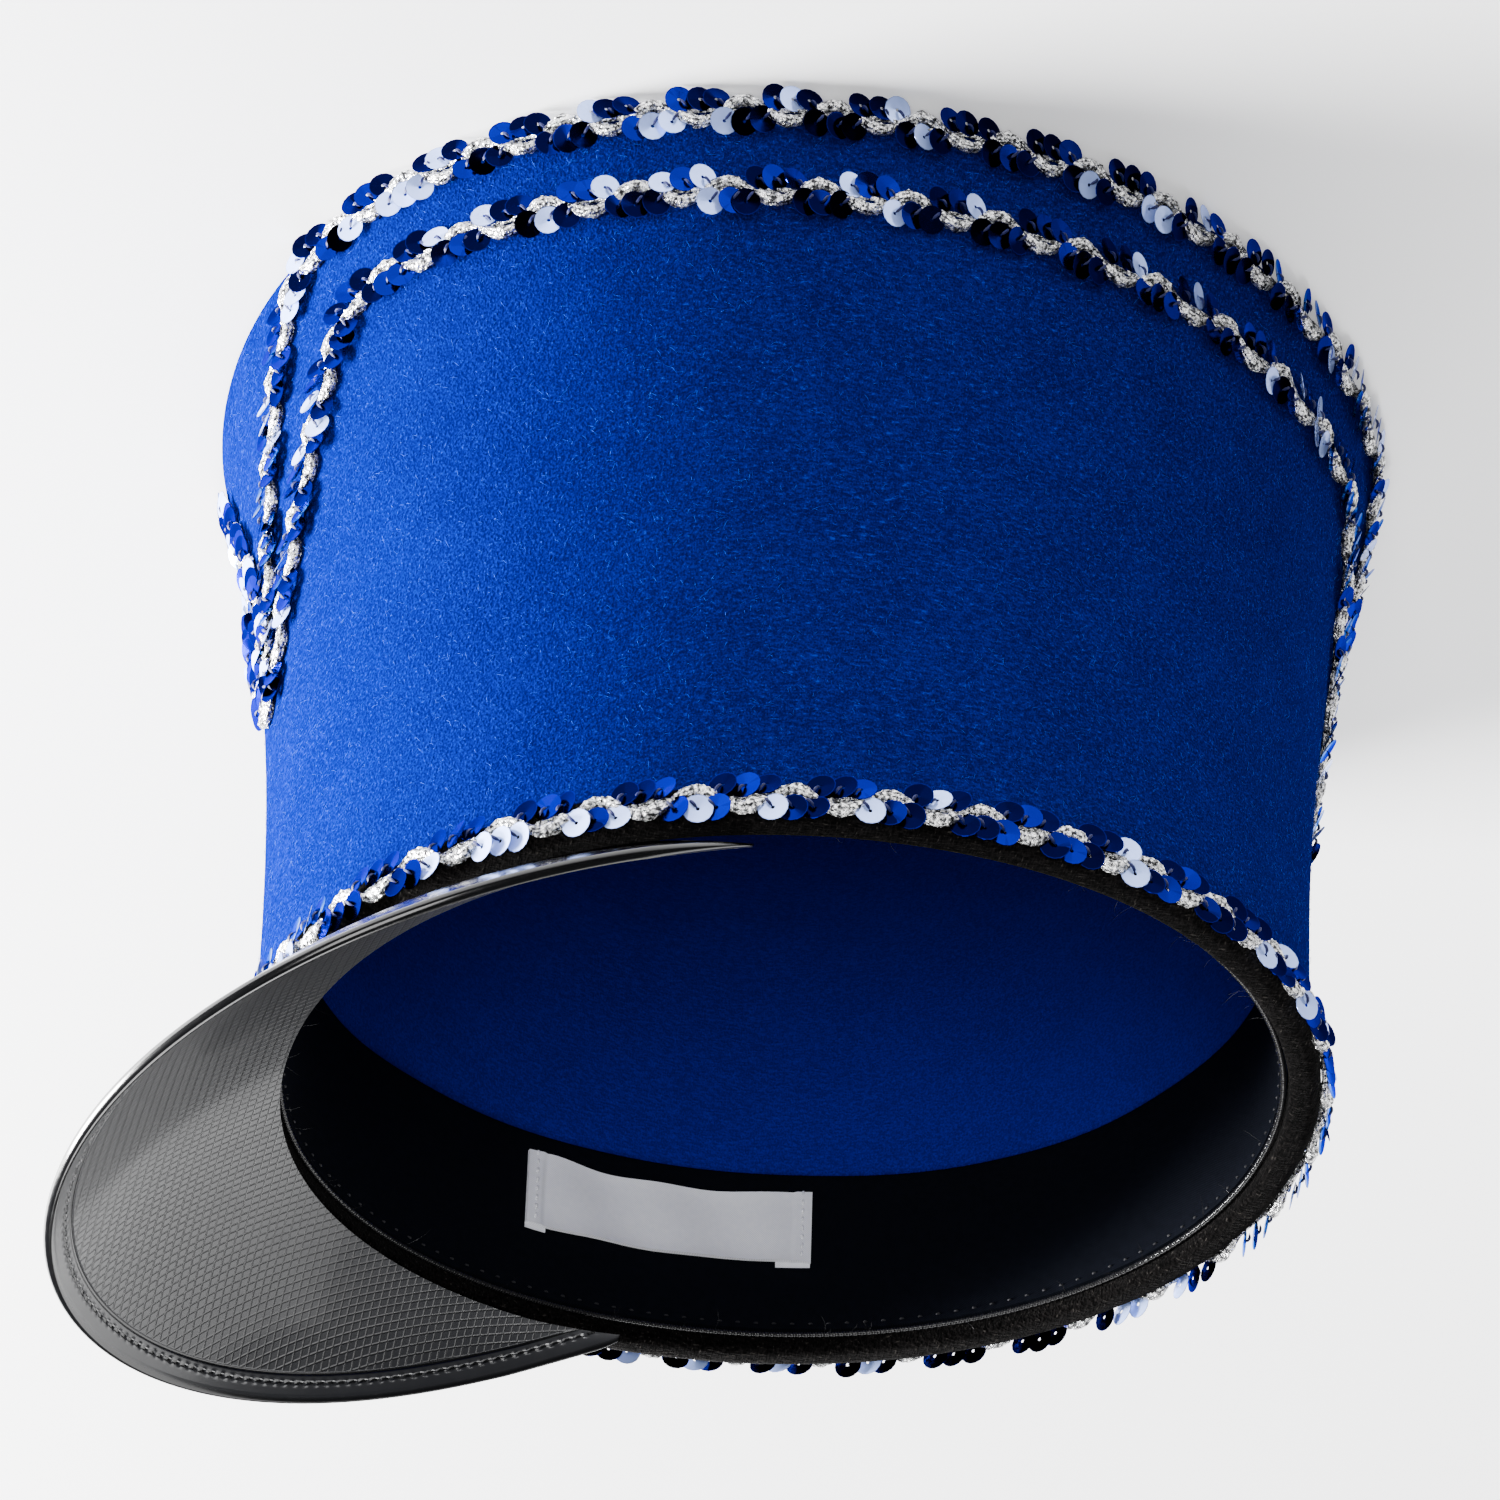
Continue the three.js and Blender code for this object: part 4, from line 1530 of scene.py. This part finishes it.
@dataclass(frozen=True)
class Label:
    """Bare woven label on the sweatband, its ends folded under and sewn down.

    Between its ends it stands off in low waves, and its lower edge is drawn in at the middle.
    """

    length: float = 63 * MM
    height: float = 19 * MM
    thickness: float = 0.5 * MM
    angle: float = math.radians(87)
    depth: float = 22 * MM
    fold: float = 4 * MM
    curl: float = 0.7 * MM
    waist: float = 1.3 * MM
    tab_lengths: tuple[float, float] = (5 * MM, 7.5 * MM)
    tab_drop: float = 1.1 * MM
    stitches_at_end: int = 8
    stitch_length: float = 1.5 * MM
    stitch_radius: float = 0.26 * MM
    columns: int = 120
    rows: int = 24
    tab_columns: int = 12

    def build(self, finishes: Finishes) -> None:
        """Makes the strip, which swells over the folds and sways a little, and the folded ends under it."""
        half_turn = self.length / 2 / (WALL.rim_half_length + LAYERS.sweatband_inner)
        part = np.linspace(-1, 1, self.columns)[:, None]
        row = np.linspace(0, 1, self.rows)[None]
        end = (1 - np.abs(part)) * self.length / 2
        swell = self.thickness * 0.9 * np.clip((self.fold - end) / (0.5 * MM), 0, 1)
        cockle = self.curl * (0.5 + 0.5 * np.sin(9 * part + 2.2 * row)) * np.clip(end / (6 * MM), 0, 1)
        rolled = self.curl * 0.8 * (2 * row - 1) ** 4 * np.clip(end / (5 * MM), 0, 1)
        lift = cockle + swell + rolled
        uneven = 0.3 * MM * np.sin(7 * part + 1) * (row - 0.5)
        uneven = uneven - self.waist * row * np.cos(part * math.pi / 2)
        back = LAYERS.sweatband_inner - LAYERS.gap
        maker = MeshMaker("label_strip")
        self.strip(maker, self.angle + half_turn * part, self.depth + self.height * row + uneven,
                   back - self.thickness - lift, back - 0.6 * lift)
        for side, length in zip((-1, 1), self.tab_lengths):
            inward = 1 - np.linspace(0, 2 * length / self.length, self.tab_columns)[:, None]
            self.strip(maker, self.angle + side * half_turn * inward * 0.995,
                       self.depth - self.tab_drop + self.height * row,
                       back - 0.4 * self.thickness + 0 * row, back + 0 * row)
        self.stitches(maker, half_turn, back)
        place(maker.build(), [finishes.weave, finishes.weave], "label", "white_weave")

    @staticmethod
    def strip(maker: MeshMaker, angle: Array, depth: Array, face: Array, rear: Array) -> None:
        """Adds a thin closed strip that lies along the wall.

        Args:
            maker: The mesh to add to.
            angle: Angles, as a column.
            depth: Depths below the rim.
            face: Offsets of the side that shows.
            rear: Offsets of the side behind.
        """
        share = WALL.from_rim(depth)
        front = WALL.point(angle, share, face)
        behind = WALL.point(angle, share, rear)
        across = np.broadcast_to(depth / MM, front.shape[:2])
        around = np.broadcast_to(angle * WALL.rim_half_length / MM, front.shape[:2])
        uv = np.stack([np.hstack([around, around]), np.hstack([across, across[:, ::-1]])], axis=-1)
        points = np.hstack([front, behind[:, ::-1]])
        maker.grid(points, uv=uv, closed_columns=True)
        maker.cap(points[0])
        maker.cap(points[-1], flip=True)

    def stitches(self, maker: MeshMaker, half_turn: float, back: float) -> None:
        """Adds a row of stitches across each folded end.

        Args:
            maker: The mesh to add to.
            half_turn: Half the angle that the label covers.
            back: Offset of the label's rear side.
        """
        row = np.linspace(0.06, 0.94, self.stitches_at_end)
        for end in (-1, 1):
            angle = self.angle + end * half_turn * (1 - self.fold / self.length)
            share = WALL.from_rim(self.depth + self.height * row)
            face = back - self.thickness * 2.0
            start = WALL.point(angle, share, face)
            pull = WALL.point(angle, share - self.stitch_length / WALL.height, face) - start
            normal = -WALL.normal(np.full(len(row), angle), share)
            axes = thread_axes(pull, unit(np.cross(normal, pull)), normal, self.stitch_radius)
            maker.copies(arched_thread(arch=1.6, sides=6, steps=5), start, axes, np.zeros(len(row)), slot=1)


def stand(spot: tuple[float, float, float], right: Array, back: Array) -> Matrix:
    """Place and turn of a lamp or camera.

    Args:
        spot: Where it stands.
        right: Unit direction to its right.
        back: Unit direction away from what it looks at.

    Returns:
        Its world matrix.
    """
    turned = np.eye(4)
    turned[:3] = np.stack([right, np.cross(back, right), back, spot], axis=1)
    return Matrix(turned.tolist())


@dataclass(frozen=True)
class AreaLamp:
    """A soft square lamp aimed at the hat."""

    name: str
    place: tuple[float, float, float]
    size: float
    watts: float

    def build(self, target: tuple[float, float, float]) -> bpy.types.Object:
        """Puts the lamp in, facing the target."""
        data = bpy.data.lights.new(self.name, "AREA")
        data.size = self.size
        data.energy = self.watts
        lamp = bpy.data.objects.new(self.name, data)
        bpy.context.scene.collection.objects.link(lamp)
        back = unit(np.array(self.place) - np.array(target))
        lamp.matrix_world = stand(self.place, unit(np.cross((0.0, 0.0, 1.0), back)), back)
        return lamp


@dataclass(frozen=True)
class Studio:
    """Pale floor, soft lamps and the camera at the photo's angle, rolled so that the rim points up."""

    camera_place: tuple[float, float, float] = (-0.85140, -0.24090, 0.88715)
    camera_right: tuple[float, float, float] = (-0.26288, 0.96482, -0.00319)
    camera_back: tuple[float, float, float] = (-0.71386, -0.19228, 0.67337)
    lens: float = 135.2
    sensor: float = 36
    far: float = 20
    target: tuple[float, float, float] = (0.0, -0.01, 0.11)
    floor_half: float = 3.0
    floor_steps: int = 9
    floor_glow: float = 0.3
    sky: Colour = colour(0.9, 0.93, 1.0)
    sky_strength: float = 0.11
    lamps: tuple[AreaLamp, ...] = (
        AreaLamp("key", (0.52, -1.30, 0.32), 0.6, 400),
        AreaLamp("overhead", (0.9, 0.25, 1.7), 1.1, 45),
        AreaLamp("front fill", (-1.35, -0.5, 1.2), 0.9, 24),
        AreaLamp("back panel", (0.75, 1.45, 0.62), 1.5, 23),
    )

    def floor(self) -> bpy.types.Object:
        """Makes the floor with its faintly uneven pale finish."""
        maker = MeshMaker("floor")
        line = np.linspace(-self.floor_half, self.floor_half, self.floor_steps)
        x, y = np.meshgrid(line, line, indexing="ij")
        maker.grid(np.stack([x, y, 0 * x], axis=-1))
        piece = maker.build()
        shader = Shader("pale floor")
        tint = shader.blend(shader.noise(3, 2), colour(0.86, 0.86, 0.87), colour(0.90, 0.90, 0.90))
        piece.data.materials.append(shader.finish(base_color=tint, roughness=0.7, emission_color=tint,
                                                  emission_strength=self.floor_glow))
        return piece

    def camera(self) -> bpy.types.Object:
        """Makes the camera."""
        data = bpy.data.cameras.new("camera")
        data.lens = self.lens
        data.sensor_width = self.sensor
        data.clip_end = self.far
        camera = bpy.data.objects.new("camera", data)
        bpy.context.scene.collection.objects.link(camera)
        back = unit(np.array(self.camera_back))
        up = unit(np.cross(back, np.array(self.camera_right)))
        camera.matrix_world = stand(self.camera_place, np.cross(up, back), back)
        bpy.context.scene.camera = camera
        return camera

    def world(self) -> None:
        """Sets the soft light that comes from all round."""
        world = bpy.data.worlds.new("studio")
        world.use_nodes = True
        background = world.node_tree.nodes["Background"]
        background.inputs["Color"].default_value = self.sky
        background.inputs["Strength"].default_value = self.sky_strength
        bpy.context.scene.world = world

    def build(self) -> None:
        """Puts the studio in: the sky, the lamps, the floor and the camera."""
        self.world()
        things = [lamp.build(self.target) for lamp in self.lamps]
        self.floor()
        self.camera()


def main() -> None:
    """Builds the hat piece by piece, then the studio."""
    logging.basicConfig(level=logging.INFO, format="%(message)s")
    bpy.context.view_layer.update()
    finishes = Finishes()
    hat = [FeltCrown(), FeltFuzz(), EdgeBand(), Sweatband(), Reed(), Peak(), Label(), BaseBraid(),
           UpperBraid(Side.RIGHT), UpperBraid(Side.LEFT)]
    for piece in hat:
        piece.build(finishes)
        log.info("built %s", type(piece).__name__)
    Studio().build()


if __name__ == "__main__":
    main()
